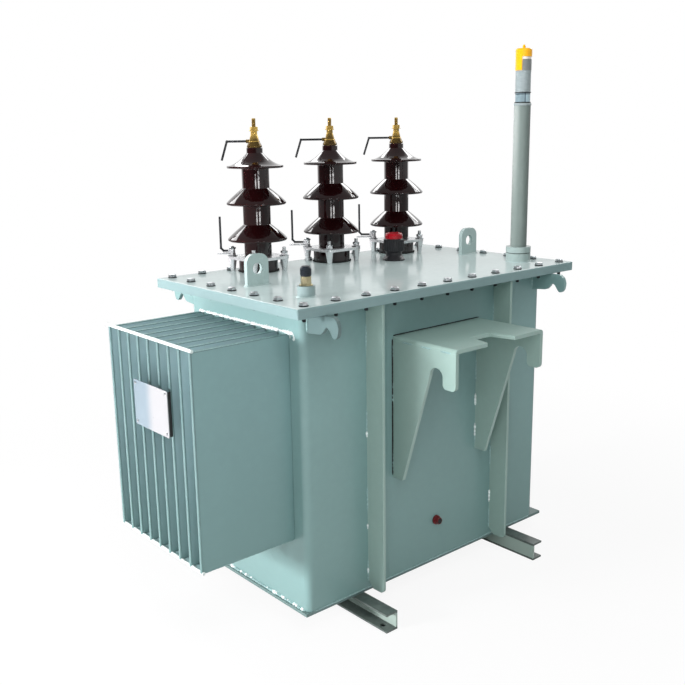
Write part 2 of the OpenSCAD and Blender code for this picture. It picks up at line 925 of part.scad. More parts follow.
// An upper horn runs out level from the terminal and bends down over the lower one.
module upper_horn(reach) {
    z = hv_top + horn_boss_z;
    x = reach * 0.72;
    bent_rod([[horn_boss, 0, z], [x, 0, z], [x + horn_drop * 0.32, 0, z - horn_drop]], horn_d);
}

module hv_upper_horns() {
    on_tank(dark)
        for (i = [-1:1])
            translate([hv_centre_x + i * hv_spacing, hv_y, cover_z])
                rotate([0, 0, horn_turn])
                    upper_horn(i < 0 ? horn_reach : horn_reach + horn_more);
}

// A lower horn runs out level from the clamp and bends up.
module lower_horn(reach) {
    z = horn_z;
    x = reach - horn_bend;
    bent_rod([[horn_root, 0, z], [x, 0, z], [reach, 0, z + horn_bend], [reach, 0, z + horn_rise]], horn_d);
}

module hv_lower_horns() {
    on_tank(dark)
        for (i = [-1:1])
            translate([hv_centre_x + i * hv_spacing, hv_y, cover_z])
                rotate([0, 0, horn_turn])
                    lower_horn(i < 0 ? horn_reach : horn_reach + horn_more);
}

// Places its children at each low-voltage bushing, with the bushing's axis along +Y.
module at_lv() {
    for (i = [0:lv_count - 1])
        translate([(i - (lv_count - 1) / 2) * lv_spacing, back_y, lv_z])
            rotate([-90, 0, 0])
                children();
}

module lv_insulators() {
    r = lv_shed_d / 2;
    neck = r * 0.64;
    l = lv_length;
    on_tank(porcelain)
        at_lv()
            rotate_extrude()
                polygon([
                    [0, 0], [r * 1.08, 0], [r * 1.08, l * 0.15], [r * 0.8, l * 0.22],
                    [neck, l * 0.33], [neck, l * 0.39], [r, l * 0.43], [r, l * 0.5],
                    [neck, l * 0.59], [neck, l * 0.67], [r * 0.9, l * 0.72], [r * 0.9, l * 0.78],
                    [r * 0.54, l * 0.96], [r * 0.49, l], [0, l]
                ]);
}

module lv_terminals() {
    on_tank(brass)
        at_lv()
            translate([0, 0, lv_length]) {
                cylinder(d = lv_stud_d * 2.1, h = lv_stud_d * 0.3);
                translate([0, 0, lv_stud_d * 0.3])
                    cylinder(d = lv_stud_d * 1.9, h = lv_stud_d * 0.75, $fn = 6);
                cylinder(d = lv_stud_d, h = lv_stud_length);
            }
}

module drain_plug() {
    on_tank([0.30, 0.07, 0.07])
        translate([plug_x, front_y, floor_z + plug_rise])
            rotate([90, 0, 0]) {
                cylinder(d = plug_d, h = plug_d * 0.2);
                translate([0, 0, plug_d * 0.2])
                    cylinder(d = plug_d * 0.77, h = plug_d * 0.42, $fn = 6);
            }
}

base_channel_left();
base_channel_right();
tank_floor();
tank_shell();
tank_flange();
cover_gasket();
cover();
cooling_fins();
fin_tie_rod_top();
fin_tie_rod_bottom();
nameplate_bracket();
nameplate();
stiffener_left();
stiffener_right();
hanger_cheek_left();
hanger_cheek_right();
hanger_top_plate();
lifting_hook_front_left();
lifting_hook_front_right();
lifting_hook_back_left();
lifting_hook_back_right();
lifting_lug_left();
lifting_lug_right();
thermometer_pocket();
thermometer_fitting();
thermometer_cap();
tap_changer_body();
tap_changer_cap();
filler_flange();
filler_pipe();
sight_glass();
filler_neck();
filler_cap();
hv_porcelain_a();
hv_porcelain_b();
hv_porcelain_c();
hv_clamp_a();
hv_clamp_b();
hv_clamp_c();
hv_terminal_a();
hv_terminal_b();
hv_terminal_c();
hv_upper_horns();
hv_lower_horns();
lv_insulators();
lv_terminals();
drain_plug();
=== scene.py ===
"""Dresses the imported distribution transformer: paint, glaze, fasteners, welds, light and camera."""
import logging
import math
from dataclasses import dataclass, field
from enum import Enum
from typing import Sequence, Union

import bmesh
import bpy
from mathutils import Matrix, Vector, noise


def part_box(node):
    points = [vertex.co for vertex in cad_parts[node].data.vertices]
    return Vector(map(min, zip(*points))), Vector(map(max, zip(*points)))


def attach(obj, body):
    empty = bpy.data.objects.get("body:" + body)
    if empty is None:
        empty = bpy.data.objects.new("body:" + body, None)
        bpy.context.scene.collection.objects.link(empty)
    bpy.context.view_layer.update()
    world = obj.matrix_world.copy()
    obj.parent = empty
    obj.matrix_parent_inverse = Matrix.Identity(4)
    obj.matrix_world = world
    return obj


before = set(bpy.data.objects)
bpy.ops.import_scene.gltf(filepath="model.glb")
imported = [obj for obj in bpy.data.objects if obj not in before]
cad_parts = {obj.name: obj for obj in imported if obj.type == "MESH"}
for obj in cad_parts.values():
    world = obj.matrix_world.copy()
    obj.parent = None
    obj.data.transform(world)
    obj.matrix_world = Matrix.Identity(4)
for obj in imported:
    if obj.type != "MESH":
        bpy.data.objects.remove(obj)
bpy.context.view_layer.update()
LOG = logging.getLogger("transformer")
MM = 0.001
UP = Vector((0, 0, 1))
OPEN_ENDS = (False, False)
WELD_SMOOTH = 60.0
Triple = tuple[float, float, float]
Colour = Triple
Value = Union["Signal", float, Colour]
Profile = Sequence[tuple[float, float]]
Path = list[Triple]


def srgb(r: int, g: int, b: int) -> Colour:
    """Turn a colour of 0 to 255 steps into linear light.

    Args:
        r: Red step.
        g: Green step.
        b: Blue step.

    Returns:
        The linear colour.
    """
    def linear(step: int) -> float:
        """Return one channel in linear light."""
        c = step / 255
        return c / 12.92 if c <= 0.04045 else ((c + 0.055) / 1.055) ** 2.4
    return linear(r), linear(g), linear(b)


def rise(height: float) -> Vector:
    """Return a step straight up."""
    return Vector((0, 0, height))


def span(node: str) -> tuple[Vector, Vector]:
    """Return a node's lowest and highest corners in millimetres."""
    low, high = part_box(node)
    return Vector(low) / MM, Vector(high) / MM


def stand(node: str, height: float = 0.0) -> Vector:
    """Return the point of a node's upright middle line at a height, in millimetres."""
    low, high = span(node)
    return Vector(((low.x + high.x) / 2, (low.y + high.y) / 2, height))


class Slot(Enum):
    """Material slots of the record."""

    TANK_PAINT = "tank_paint"
    COVER_PAINT = "cover_paint"
    GASKET_RUBBER = "gasket_rubber"
    PLATE_METAL = "plate_metal"
    BRASS = "brass"
    BLACK_PLASTIC = "black_plastic"
    RED_PLASTIC = "red_plastic"
    SIGHT_GLASS = "sight_glass"
    NECK_METAL = "neck_metal"
    YELLOW_PLASTIC = "yellow_plastic"
    BROWN_PORCELAIN = "brown_porcelain"
    CLAMP_METAL = "clamp_metal"
    HORN_STEEL = "horn_steel"
    PLUG_PAINT = "plug_paint"


class Signal:
    """One shader socket with arithmetic that adds Math nodes to its graph."""

    def __init__(self, graph: "Graph", socket: bpy.types.NodeSocket) -> None:
        """Keep the graph and the socket."""
        self.graph = graph
        self.socket = socket

    def __add__(self, other: Value) -> "Signal":
        """Return self + other."""
        return self.graph.math("ADD", self, other)

    def __radd__(self, other: Value) -> "Signal":
        """Return other + self."""
        return self.graph.math("ADD", other, self)

    def __sub__(self, other: Value) -> "Signal":
        """Return self - other."""
        return self.graph.math("SUBTRACT", self, other)

    def __rsub__(self, other: Value) -> "Signal":
        """Return other - self."""
        return self.graph.math("SUBTRACT", other, self)

    def __mul__(self, other: Value) -> "Signal":
        """Return self * other."""
        return self.graph.math("MULTIPLY", self, other)

    def __rmul__(self, other: Value) -> "Signal":
        """Return other * self."""
        return self.graph.math("MULTIPLY", other, self)

    def __gt__(self, other: Value) -> "Signal":
        """Return 1 where self is over other, else 0."""
        return self.graph.math("GREATER_THAN", self, other)

    def __lt__(self, other: Value) -> "Signal":
        """Return 1 where self is under other, else 0."""
        return self.graph.math("LESS_THAN", self, other)

    def __abs__(self) -> "Signal":
        """Return self without its sign."""
        return self.graph.math("ABSOLUTE", self, 0.0)

    def most(self, other: Value) -> "Signal":
        """Return the larger of self and other."""
        return self.graph.math("MAXIMUM", self, other)

    def between(self, low: float, high: float) -> "Signal":
        """Return a smooth step from 0 at low to 1 at high."""
        made = self.graph.node("ShaderNodeMapRange", {"interpolation_type": "SMOOTHSTEP"},
                               {"Value": self, "From Min": low, "From Max": high})
        return self.graph.signal(made)


class Graph:
    """A node tree that is filled through a few plain calls."""

    def __init__(self, tree: bpy.types.NodeTree) -> None:
        """Empty the tree and keep it."""
        tree.nodes.clear()
        self.tree = tree

    def node(self, kind: str, settings: dict[str, object] | None = None,
             inputs: dict[str | int, Value] | None = None) -> bpy.types.Node:
        """Add one node.

        Args:
            kind: The node's type.
            settings: Properties that are set first, such as an operation.
            inputs: Values or signals for its sockets, by name or number.

        Returns:
            The new node.
        """
        made = self.tree.nodes.new(kind)
        for key, value in (settings or {}).items():
            setattr(made, key, value)
        for key, value in (inputs or {}).items():
            self.feed(made.inputs[key], value)
        return made

    def feed(self, socket: bpy.types.NodeSocket, value: Value) -> None:
        """Link a signal to a socket, or set the socket's own value.

        Args:
            socket: The socket to fill.
            value: A signal, a number or a colour.
        """
        if isinstance(value, Signal):
            self.tree.links.new(value.socket, socket)
        elif isinstance(value, tuple) and len(socket.default_value) == 4:
            socket.default_value = (*value, 1.0)
        else:
            socket.default_value = value

    def signal(self, made: bpy.types.Node, output: str | int = 0) -> Signal:
        """Return one output of a node as a signal."""
        return Signal(self, made.outputs[output])

    def math(self, operation: str, a: Value, b: Value) -> Signal:
        """Return a Math node's result."""
        return self.signal(self.node("ShaderNodeMath", {"operation": operation}, {0: a, 1: b}))

    def mix(self, factor: Value, a: Value, b: Value) -> Signal:
        """Return a mix of two colours.

        Args:
            factor: Share of the second colour.
            a: First colour.
            b: Second colour.

        Returns:
            The mixed colour.
        """
        made = self.node("ShaderNodeMix", {"data_type": "RGBA"}, {0: factor, 6: a, 7: b})
        return self.signal(made, 2)

    def dot(self, a: Value, b: Value) -> Signal:
        """Return the dot product of two vectors."""
        made = self.node("ShaderNodeVectorMath", {"operation": "DOT_PRODUCT"}, {0: a, 1: b})
        return self.signal(made, "Value")

    def part(self, vector: Signal, name: str) -> Signal:
        """Return one coordinate of a vector, X, Y or Z."""
        return self.signal(self.node("ShaderNodeSeparateXYZ", None, {0: vector}), name)

    def ray(self, name: str) -> Signal:
        """Return 1 for the rays that the Light Path node's output names."""
        return self.signal(self.node("ShaderNodeLightPath"), name)

    def place(self) -> Signal:
        """Return the point on the object, in metres."""
        return self.signal(self.node("ShaderNodeTexCoord"), "Object")

    def axis(self, name: str) -> Signal:
        """Return one coordinate of the point on the object, X, Y or Z."""
        return self.part(self.place(), name)

    def normal(self) -> Signal:
        """Return the surface's direction."""
        return self.signal(self.node("ShaderNodeNewGeometry"), "Normal")

    def across(self, middle: tuple[float, float], turn: float, radius: float = 1.0) -> Signal:
        """Return how far the point lies to one side of an upright axis.

        Args:
            middle: The axis, as X and Y in metres.
            turn: The side's direction, in radians about the axis.
            radius: Distance that counts as 1.

        Returns:
            The signed distance.
        """
        along_x = (self.axis("X") - middle[0]) * (math.cos(turn) / radius)
        return along_x + (self.axis("Y") - middle[1]) * (math.sin(turn) / radius)

    def grain(self, scale: float, detail: float = 3.0, stretch: Triple = (1, 1, 1)) -> Signal:
        """Return a cloudy noise from 0 to 1.

        Args:
            scale: Cells per metre.
            detail: Octaves of finer noise.
            stretch: Factor on each coordinate.

        Returns:
            The noise.
        """
        where = self.place()
        if stretch != (1, 1, 1):
            where = self.signal(self.node("ShaderNodeVectorMath", {"operation": "MULTIPLY"},
                                          {0: where, 1: stretch}))
        made = self.node("ShaderNodeTexNoise", None,
                         {"Vector": where, "Scale": scale, "Detail": detail})
        return self.signal(made)

    def rounded(self, radius: float) -> Signal:
        """Return the surface's direction with its sharp edges rounded."""
        return self.signal(self.node("ShaderNodeBevel", {"samples": 6}, {"Radius": radius}))

    def edge(self, radius: float) -> Signal:
        """Return 1 on sharp edges within a radius, falling to 0 on flat faces."""
        return (1 - self.dot(self.rounded(radius), self.normal())).between(0.02, 0.2)

    def bump(self, height: Signal, distance: float, radius: float = 0.0) -> Signal:
        """Return a normal that follows a height.

        Args:
            height: The height.
            distance: Metres that a height of 1 stands for.
            radius: Rounding of sharp edges in metres, or 0.

        Returns:
            The normal.
        """
        inputs: dict[str | int, Value] = {"Height": height, "Distance": distance, "Strength": 1.0}
        if radius:
            inputs["Normal"] = self.rounded(radius)
        return self.signal(self.node("ShaderNodeBump", None, inputs))

    def surface(self, inputs: dict[str | int, Value]) -> None:
        """Close the tree with one surface shader and the output."""
        shader = self.node("ShaderNodeBsdfPrincipled", None, inputs)
        self.node("ShaderNodeOutputMaterial", None, {"Surface": self.signal(shader)})


@dataclass(frozen=True)
class Finish:
    """A finish: its name, its slot in the record, and the colour and gloss that its graph uses."""

    name: str
    slot: Slot
    colour: Colour
    rough: float = 0.4

    def material(self) -> bpy.types.Material:
        """Make the finish's material on first use.

        Returns:
            The material.
        """
        known = bpy.data.materials.get(self.name)
        if known:
            return known
        made = bpy.data.materials.new(self.name)
        made.use_nodes = True
        made.diffuse_color = (*self.colour, 1.0)
        self.paint(Graph(made.node_tree))
        return made

    def paint(self, g: Graph) -> None:
        """Fill the graph; each kind of finish does it in its own way."""
        raise NotImplementedError

    def shade(self, factor: float) -> Colour:
        """Return the colour made lighter or darker by a factor."""
        return self.colour[0] * factor, self.colour[1] * factor, self.colour[2] * factor


@dataclass(frozen=True)
class SprayedPaint(Finish):
    """Sprayed enamel on sheet steel: cloudy tone, orange peel, a wavy sheet, painted highlights on
    the edges and painted shade towards the bottom.
    """

    coat: float = 0.15
    peel: float = 0.00016
    sheet_wave: float = 0.0012
    # Share of painted highlight on the edges.
    edge_highlight: float = 0.35
    low_grime: float = 0.12
    ease: float = 0.0016
    # Share of painted shade towards the bottom.
    foot: float = 0.0
    shine: float = 0.5

    def paint(self, g: Graph) -> None:
        """Fill the graph with sprayed enamel.

        Args:
            g: The graph.
        """
        cloud = g.grain(4.5, 4)
        spray = g.grain(55)
        tone = self.ground(g, g.mix(cloud, self.shade(0.93), self.shade(1.06)))
        tone = g.mix(spray.between(0.35, 0.75) * 0.1, tone, self.shade(1.3))
        streak = g.grain(16, 4, (1, 1, 0.12)).between(0.55, 0.8)
        low = 1 - g.axis("Z").between(0.05, 0.32)
        tone = g.mix((streak * 0.4 + 0.25) * low * self.low_grime * 2, tone, self.shade(0.62))
        # Painted shade: the coat darkens and turns greener towards the bottom, by the share in foot.
        if self.foot:
            deep = (self.colour[0] * 0.66, self.colour[1] * 0.72, self.colour[2] * 0.68)
            tone = g.mix((1 - g.axis("Z").between(0.1, 0.75)) * self.foot, tone, deep)
        # Painted highlight: edges are mixed towards a paler tone, as if catching the light.
        if self.edge_highlight:
            tone = g.mix(g.edge(0.0022) * self.edge_highlight, tone, self.shade(1.5))
        gloss = self.rough + 0.1 * (cloud - 0.5) + 0.08 * (spray - 0.5)
        height = g.grain(330, 2) * self.peel + g.grain(7, 2) * self.sheet_wave
        g.surface({"Base Color": tone, "Roughness": gloss, "IOR": 1.48,
                   "Specular IOR Level": self.shine, "Coat Weight": self.coat,
                   "Coat Roughness": 0.08, "Normal": g.bump(height, 1.0, self.ease)})

    def ground(self, g: Graph, tone: Signal) -> Signal:
        """Return the coat's tone before streaks and edges; a plain coat keeps it."""
        return tone


@dataclass(frozen=True)
class FinPaint(SprayedPaint):
    """Enamel on the fins, with painted light: paler in the gaps as if lit by bounced light, and
    painted shade on the noses and top edges.
    """

    gap_painted_light: Colour = (0.35, 0.49, 0.52)
    nose_painted_shade: float = 0.6
    half_width: float = 0.188
    nose_x: float = -0.7155
    top_z: float = 0.7555

    def ground(self, g: Graph, tone: Signal) -> Signal:
        """Paint light into the gaps and shade onto the noses and top edges, by place on the fins.

        Args:
            g: The graph.
            tone: The plain tone.

        Returns:
            The tone.
        """
        # Painted light: the gap faces between the fins take a paler tone.
        tone = g.mix(abs(g.axis("Y")) < self.half_width, tone, self.gap_painted_light)
        # Painted shade: the fin noses and top edges are darkened.
        nose_shade_mask = (g.axis("X") < self.nose_x).most(g.axis("Z") > self.top_z)
        return g.mix(nose_shade_mask, tone, self.shade(self.nose_painted_shade))


@dataclass(frozen=True)
class CoverPaint(SprayedPaint):
    """Enamel on the cover, with painted light: the flat top painted pale where light and reflections
    fall, the turned-down rim deeper.
    """

    top: Colour = (0.6, 0.7, 0.7)
    top_z: float = 0.8385

    def ground(self, g: Graph, tone: Signal) -> Signal:
        """Return the coat's tone by height, with the pale top as painted light."""
        deep = (self.top[0] * 0.95, self.top[1] * 0.96, self.top[2] * 0.96)
        # Painted light: above top_z the cover takes the pale top tone.
        return g.mix(g.axis("Z") > self.top_z, tone, g.mix(g.grain(9, 4), deep, self.top))


@dataclass(frozen=True)
class PipePaint(SprayedPaint):
    """Enamel on the filler pipe, with painted light: pale on the side to the window, and painted
    shade on the other.
    """

    middle: tuple[float, float] = (0.387, -0.185)
    radius: float = 0.023
    window_turn: float = math.radians(139.5)
    window_side_light: Colour = (0.6, 0.64, 0.63)

    def ground(self, g: Graph, tone: Signal) -> Signal:
        """Paint light and shade by the side of the pipe.

        Args:
            g: The graph.
            tone: The plain tone.

        Returns:
            The tone.
        """
        side = g.across(self.middle, self.window_turn, self.radius)
        # Painted shade on the side away from the window.
        tone = g.mix(side.between(-0.2, -0.95), tone, self.shade(0.8))
        # Painted light on the side to the window, strongest towards the top.
        high = 0.25 + 0.75 * g.axis("Z").between(0.95, 1.2)
        return g.mix(side.between(0.25, 1.0) * high, tone, self.window_side_light)


@dataclass(frozen=True)
class ChannelPaint(SprayedPaint):
    """Enamel on the base channels, with painted shade: dark on the flat flanges and their rims, paler
    on the upright web.
    """

    flange: Colour = (0.1, 0.12, 0.11)
    thick: float = 0.006
    height: float = 0.05

    def ground(self, g: Graph, tone: Signal) -> Signal:
        """Paint shade onto the flat faces and the flange rims, by the way the face looks and by
        height.

        Args:
            g: The graph.
            tone: The plain tone.

        Returns:
            The tone.
        """
        # Painted shade: flat faces and the flange rims take the dark flange tone.
        level = abs(g.part(g.normal(), "Z")).between(0.4, 0.7)
        rim_shade = (g.axis("Z") < self.thick).most(g.axis("Z") > self.height - self.thick)
        return g.mix(level.most(rim_shade), tone, self.flange)


@dataclass(frozen=True)
class WeldPaint(Finish):
    """Painted weld metal: ripples and pale crests."""

    def paint(self, g: Graph) -> None:
        """Fill the graph with painted weld metal.

        Args:
            g: The graph.
        """
        lump = g.grain(170, 4)
        tone = g.mix(lump.between(0.3, 0.7), self.shade(0.8), self.shade(1.15))
        g.surface({"Base Color": tone, "Roughness": self.rough + 0.2 * (lump - 0.5),
                   "Normal": g.bump(lump, 0.0012)})


@dataclass(frozen=True)
class GlazedPorcelain(Finish):
    """Brown glaze over porcelain: pooled dark glaze, thin amber at the edges, tiny pinholes."""

    def paint(self, g: Graph) -> None:
        """Fill the graph with brown glaze.

        Args:
            g: The graph.
        """
        pool = g.grain(26, 3, (1, 1, 0.4))
        tone = g.mix(pool, self.shade(0.6), self.shade(1.35))
        tone = g.mix(g.edge(0.0035) * 0.4, tone, srgb(66, 24, 20))
        speck = g.grain(900, 1).between(0.72, 0.8)
        tone = g.mix(speck * 0.5, tone, srgb(20, 8, 6))
        height = g.grain(38, 2) * 0.0003 + g.grain(500, 1) * 0.00002
        g.surface({"Base Color": tone, "Roughness": self.rough + 0.03 * (pool - 0.5), "IOR": 1.5,
                   "Coat Weight": 0.5, "Coat Roughness": 0.015,
                   "Normal": g.bump(height, 1.0, 0.0025)})


@dataclass(frozen=True)
class BareMetal(Finish):
    """Bare metal: fine grain, cloudy tarnish, brighter rubbed edges and perhaps a dark foot."""

    tarnish: Colour = (0.2, 0.2, 0.2)
    dull: float = 0.25
    grit: float = 0.0002
    stretch: Triple = (1, 1, 1)
    metal: float = 1.0
    dark_below: float = 0.0

    def paint(self, g: Graph) -> None:
        """Fill the graph with bare metal.

        Args:
            g: The graph.
        """
        cloud = g.grain(45, 4).between(0.4, 0.75)
        fine = g.grain(420, 3, self.stretch)
        tone = g.mix(cloud * self.dull, self.colour, self.tarnish)
        if self.dark_below:
            height = g.axis("Z") + 0.012 * fine
            foot = 1 - height.between(self.dark_below - 0.012, self.dark_below + 0.014)
            tone = g.mix(foot * 0.85, tone, self.tarnish)
        tone = g.mix(g.edge(0.001) * 0.5, tone, self.shade(1.25))
        g.surface({"Base Color": tone,
                   "Metallic": self.metal - 0.35 * cloud * self.dull * self.metal,
                   "Roughness": self.rough + 0.16 * (fine - 0.5) + 0.2 * cloud * self.dull,
                   "Normal": g.bump(fine, self.grit, 0.0007)})


@dataclass(frozen=True)
class MouldedPlastic(Finish):
    """Moulded plastic: fine grain, faint flow lines and paler scuffed edges."""

    grit: float = 0.00012

    def paint(self, g: Graph) -> None:
        """Fill the graph with moulded plastic.

        Args:
            g: The graph.
        """
        tone = g.mix(g.grain(60, 3, (1, 1, 3)), self.shade(0.85), self.shade(1.12))
        tone = g.mix(g.edge(0.0012) * 0.3, tone, self.shade(1.7))
        g.surface({"Base Color": tone, "Roughness": self.rough + 0.1 * (g.grain(250) - 0.5),
                   "Normal": g.bump(g.grain(800, 2), self.grit, 0.0008)})


@dataclass(frozen=True)
class Rubber(Finish):
    """Matt black rubber with a dusty bloom."""

    def paint(self, g: Graph) -> None:
        """Fill the graph with rubber.

        Args:
            g: The graph.
        """
        bloom = g.grain(120, 4).between(0.45, 0.8)
        g.surface({"Base Color": g.mix(bloom * 0.4, self.colour, self.shade(2.6)),
                   "Roughness": self.rough + 0.1 * bloom,
                   "Normal": g.bump(g.grain(600, 2), 0.0002)})


@dataclass(frozen=True)
class PlateCoating(Finish):
    """White coating on a thin plate, with a painted reflection: a cooler bluish field on one part of
    it.
    """

    split_y: float = 0.0
    painted_reflection: Colour = (0.6, 0.66, 0.72)
    blend: float = 0.022

    def paint(self, g: Graph) -> None:
        """Fill the graph with plate coating.

        Args:
            g: The graph.
        """
        # Painted reflection: one part of the plate takes a cooler bluish tone.
        painted_reflection = g.axis("Y").between(self.split_y - self.blend, self.split_y + self.blend)
        tone = g.mix(painted_reflection, self.colour, self.painted_reflection)
        tone = g.mix(g.grain(220).between(0.5, 0.9) * 0.12, tone, self.shade(0.75))
        tone = g.mix(g.edge(0.0006) * 0.5, tone, srgb(150, 158, 160))
        g.surface({"Base Color": tone, "Roughness": self.rough + 0.1 * (g.grain(90) - 0.5),
                   "Metallic": 0.1 * painted_reflection, "Normal": g.bump(g.grain(400, 2), 0.00008)})


@dataclass(frozen=True)
class BandedCap(Finish):
    """The filler cap's colours by height: grey collar, white strip, yellow head."""

    low: float = 0.0
    collar: float = 0.029
    waist: float = 0.036
    guard_turn: float = math.radians(142)
    guard_reach: float = 0.009
    middle: tuple[float, float] = (0.0, 0.0)

    def paint(self, g: Graph) -> None:
        """Fill the graph with banded plastic.

        Args:
            g: The graph.
        """
        z = g.axis("Z") - self.low
        grime = g.grain(140)
        yellow = g.mix(grime, self.shade(0.88), self.shade(1.1))
        tone = g.mix(z < self.waist, yellow, srgb(226, 226, 220))
        tone = g.mix(z < self.collar, tone, srgb(122, 128, 126))
        guard = g.across(self.middle, self.guard_turn) > self.guard_reach
        tone = g.mix(guard * (z < self.waist), tone, yellow)
        tone = g.mix(g.edge(0.001) * 0.3, tone, srgb(255, 214, 120))
        g.surface({"Base Color": tone, "Roughness": self.rough + 0.12 * (grime - 0.5),
                   "Normal": g.bump(g.grain(700, 2), 0.0001, 0.0008)})


@dataclass(frozen=True)
class BandedGlass(Finish):
    """The sight tube: bluish glass with the dark lines of its seals and level marks, a painted
    highlight down one side and a dark upright band.
    """

    low: float = 0.0
    height: float = 0.029
    middle: tuple[float, float] = (0.387, -0.185)
    radius: float = 0.021
    turn: float = math.radians(-40.5)
    lines: tuple[float, ...] = (0.05, 0.82, 0.95)
    line: float = 0.05

    def paint(self, g: Graph) -> None:
        """Fill the graph with a banded tube.

        Args:
            g: The graph.
        """
        share = (g.axis("Z") - self.low) * (1 / self.height)
        film = g.grain(120)
        tone = g.mix(film, self.shade(0.8), self.shade(1.15))
        side = g.across(self.middle, self.turn, self.radius)
        # Painted highlight: one side of the tube is paler.
        tone = g.mix(side.between(0.15, 0.25), tone, self.shade(1.7))
        tone = g.mix((side > 0.08) * (side < 0.22) * 0.8, tone, srgb(58, 74, 92))
        for place in self.lines:
            dark = 1 - abs(share - place).between(self.line * 0.7, self.line)
            tone = g.mix(dark * 0.85, tone, srgb(40, 52, 58))
        g.surface({"Base Color": tone, "Roughness": 0.06 + 0.08 * film, "IOR": 1.5,
                   "Coat Weight": 0.5, "Coat Roughness": 0.03, "Normal": g.bump(film, 0.0001)})


# Painted shade: foot darkens the tank paint towards the bottom.
TANK = SprayedPaint("enamel_tank", Slot.TANK_PAINT, srgb(125, 158, 157), 0.38, coat=0.08, foot=0.35)
BRACKET = SprayedPaint("enamel_bracket", Slot.TANK_PAINT, srgb(145, 171, 164), 0.42, coat=0.06,
                       sheet_wave=0.0006)
# Painted light and shade on the fins: paler gaps, darker noses and top edges, darker towards the
# bottom.
FINS = FinPaint("enamel_fins", Slot.TANK_PAINT, srgb(122, 156, 157), 0.42, coat=0.05,
                sheet_wave=0.0008, edge_highlight=0.0, ease=0.0042, foot=0.7, gap_painted_light=srgb(160, 186, 190))
# Painted light: the cover's top colour is paler than its rim, standing in for light and reflection on
# it.
COVER = CoverPaint("enamel_cover", Slot.COVER_PAINT, srgb(128, 153, 154), 0.12, coat=0.0,
                   peel=0.00003, sheet_wave=0.0003, low_grime=0.0, shine=0.12,
                   top=srgb(204, 220, 219))
# Painted light and shade: the pipe is paler on its window side and darker on the other.
PIPE = PipePaint("enamel_pipe", Slot.TANK_PAINT, srgb(114, 128, 124), 0.42, coat=0.1, peel=0.00002,
                 sheet_wave=0.0001, window_side_light=srgb(164, 174, 171))
# Painted shade: a darker copy of the tank paint, for the front-left hook.
SHADED_HOOK = SprayedPaint("enamel_hook_painted_shade", Slot.TANK_PAINT, srgb(94, 116, 116), 0.42, coat=0.05,
                    sheet_wave=0.0006)
FLOOR = SprayedPaint("enamel_floor_plate", Slot.TANK_PAINT, srgb(100, 124, 122), 0.45, coat=0.0)
POCKET = SprayedPaint("enamel_pocket", Slot.TANK_PAINT, srgb(140, 160, 160), 0.3,
                      sheet_wave=0.0002)
FLANGE = SprayedPaint("enamel_flange", Slot.TANK_PAINT, srgb(154, 173, 170), 0.3,
                      sheet_wave=0.0002)
FITTING = SprayedPaint("enamel_fittings", Slot.TANK_PAINT, srgb(168, 189, 187), 0.26,
                       sheet_wave=0.0003)
# Painted highlight: the tie rods are painted near white, standing in for the sheen on the round rods.
ROD_PAINT = SprayedPaint("enamel_rods", Slot.TANK_PAINT, srgb(208, 220, 218), 0.3,
                         sheet_wave=0.0002)
# Painted highlight: the near-white weld colour stands in for glints on the beads.
WELD_HIGHLIGHT = WeldPaint("weld_painted_highlight", Slot.TANK_PAINT, srgb(226, 236, 235), 0.26)
SEAM = WeldPaint("painted_seam", Slot.TANK_PAINT, srgb(142, 174, 173), 0.4)
# Painted shade: the channels' flanges are darkened.
CHANNEL = ChannelPaint("enamel_channels", Slot.TANK_PAINT, srgb(158, 177, 169), 0.42,
                       edge_highlight=0.0, flange=srgb(72, 82, 79))
PORCELAIN = GlazedPorcelain("brown_glaze", Slot.BROWN_PORCELAIN, srgb(28, 7, 8), 0.03)
BRASS = BareMetal("turned_brass", Slot.BRASS, srgb(236, 198, 106), 0.15, srgb(46, 30, 16), 0.7,
                  0.00005, metal=0.75)
TERMINAL = BareMetal("terminal_brass", Slot.BRASS, srgb(236, 198, 106), 0.15, srgb(50, 36, 22),
                     0.8, 0.00005, metal=0.75, dark_below=1.204)
PALE_BRASS = BareMetal("pale_brass", Slot.BRASS, srgb(226, 216, 176), 0.32, srgb(160, 140, 96),
                       0.3, 0.00012)
BRONZE = BareMetal("tarnished_bronze", Slot.BRASS, srgb(116, 88, 54), 0.34, srgb(52, 36, 22), 0.6,
                   0.00012)
CLAMP = BareMetal("bright_casting", Slot.CLAMP_METAL, srgb(240, 242, 244), 0.22,
                  srgb(120, 126, 130), 0.4, 0.0003, metal=0.7)
ZINC = BareMetal("zinc_fastener", Slot.CLAMP_METAL, srgb(206, 210, 213), 0.3, srgb(96, 100, 104),
                 0.4, 0.0002)
DARK_STEEL = BareMetal("dark_bolt_end", Slot.HORN_STEEL, srgb(66, 70, 72), 0.42, srgb(34, 34, 34),
                       0.5, 0.0002)
HORN = BareMetal("dark_rod", Slot.HORN_STEEL, srgb(92, 94, 97), 0.4, srgb(52, 50, 48), 0.4,
                 0.00015, (1, 1, 0.2))
NECK = MouldedPlastic("satin_neck", Slot.NECK_METAL, srgb(144, 157, 159), 0.4, 0.00004)
BLACK = MouldedPlastic("black_moulding", Slot.BLACK_PLASTIC, srgb(30, 30, 33), 0.42)
NAVY = MouldedPlastic("navy_moulding", Slot.BLACK_PLASTIC, srgb(27, 34, 42), 0.35)
RED = MouldedPlastic("red_moulding", Slot.RED_PLASTIC, srgb(154, 8, 25), 0.28)
RUBBER = Rubber("joint_rubber", Slot.GASKET_RUBBER, srgb(30, 31, 31), 0.75)
PLUG = SprayedPaint("plug_red", Slot.PLUG_PAINT, srgb(104, 26, 28), 0.4, low_grime=0.3)


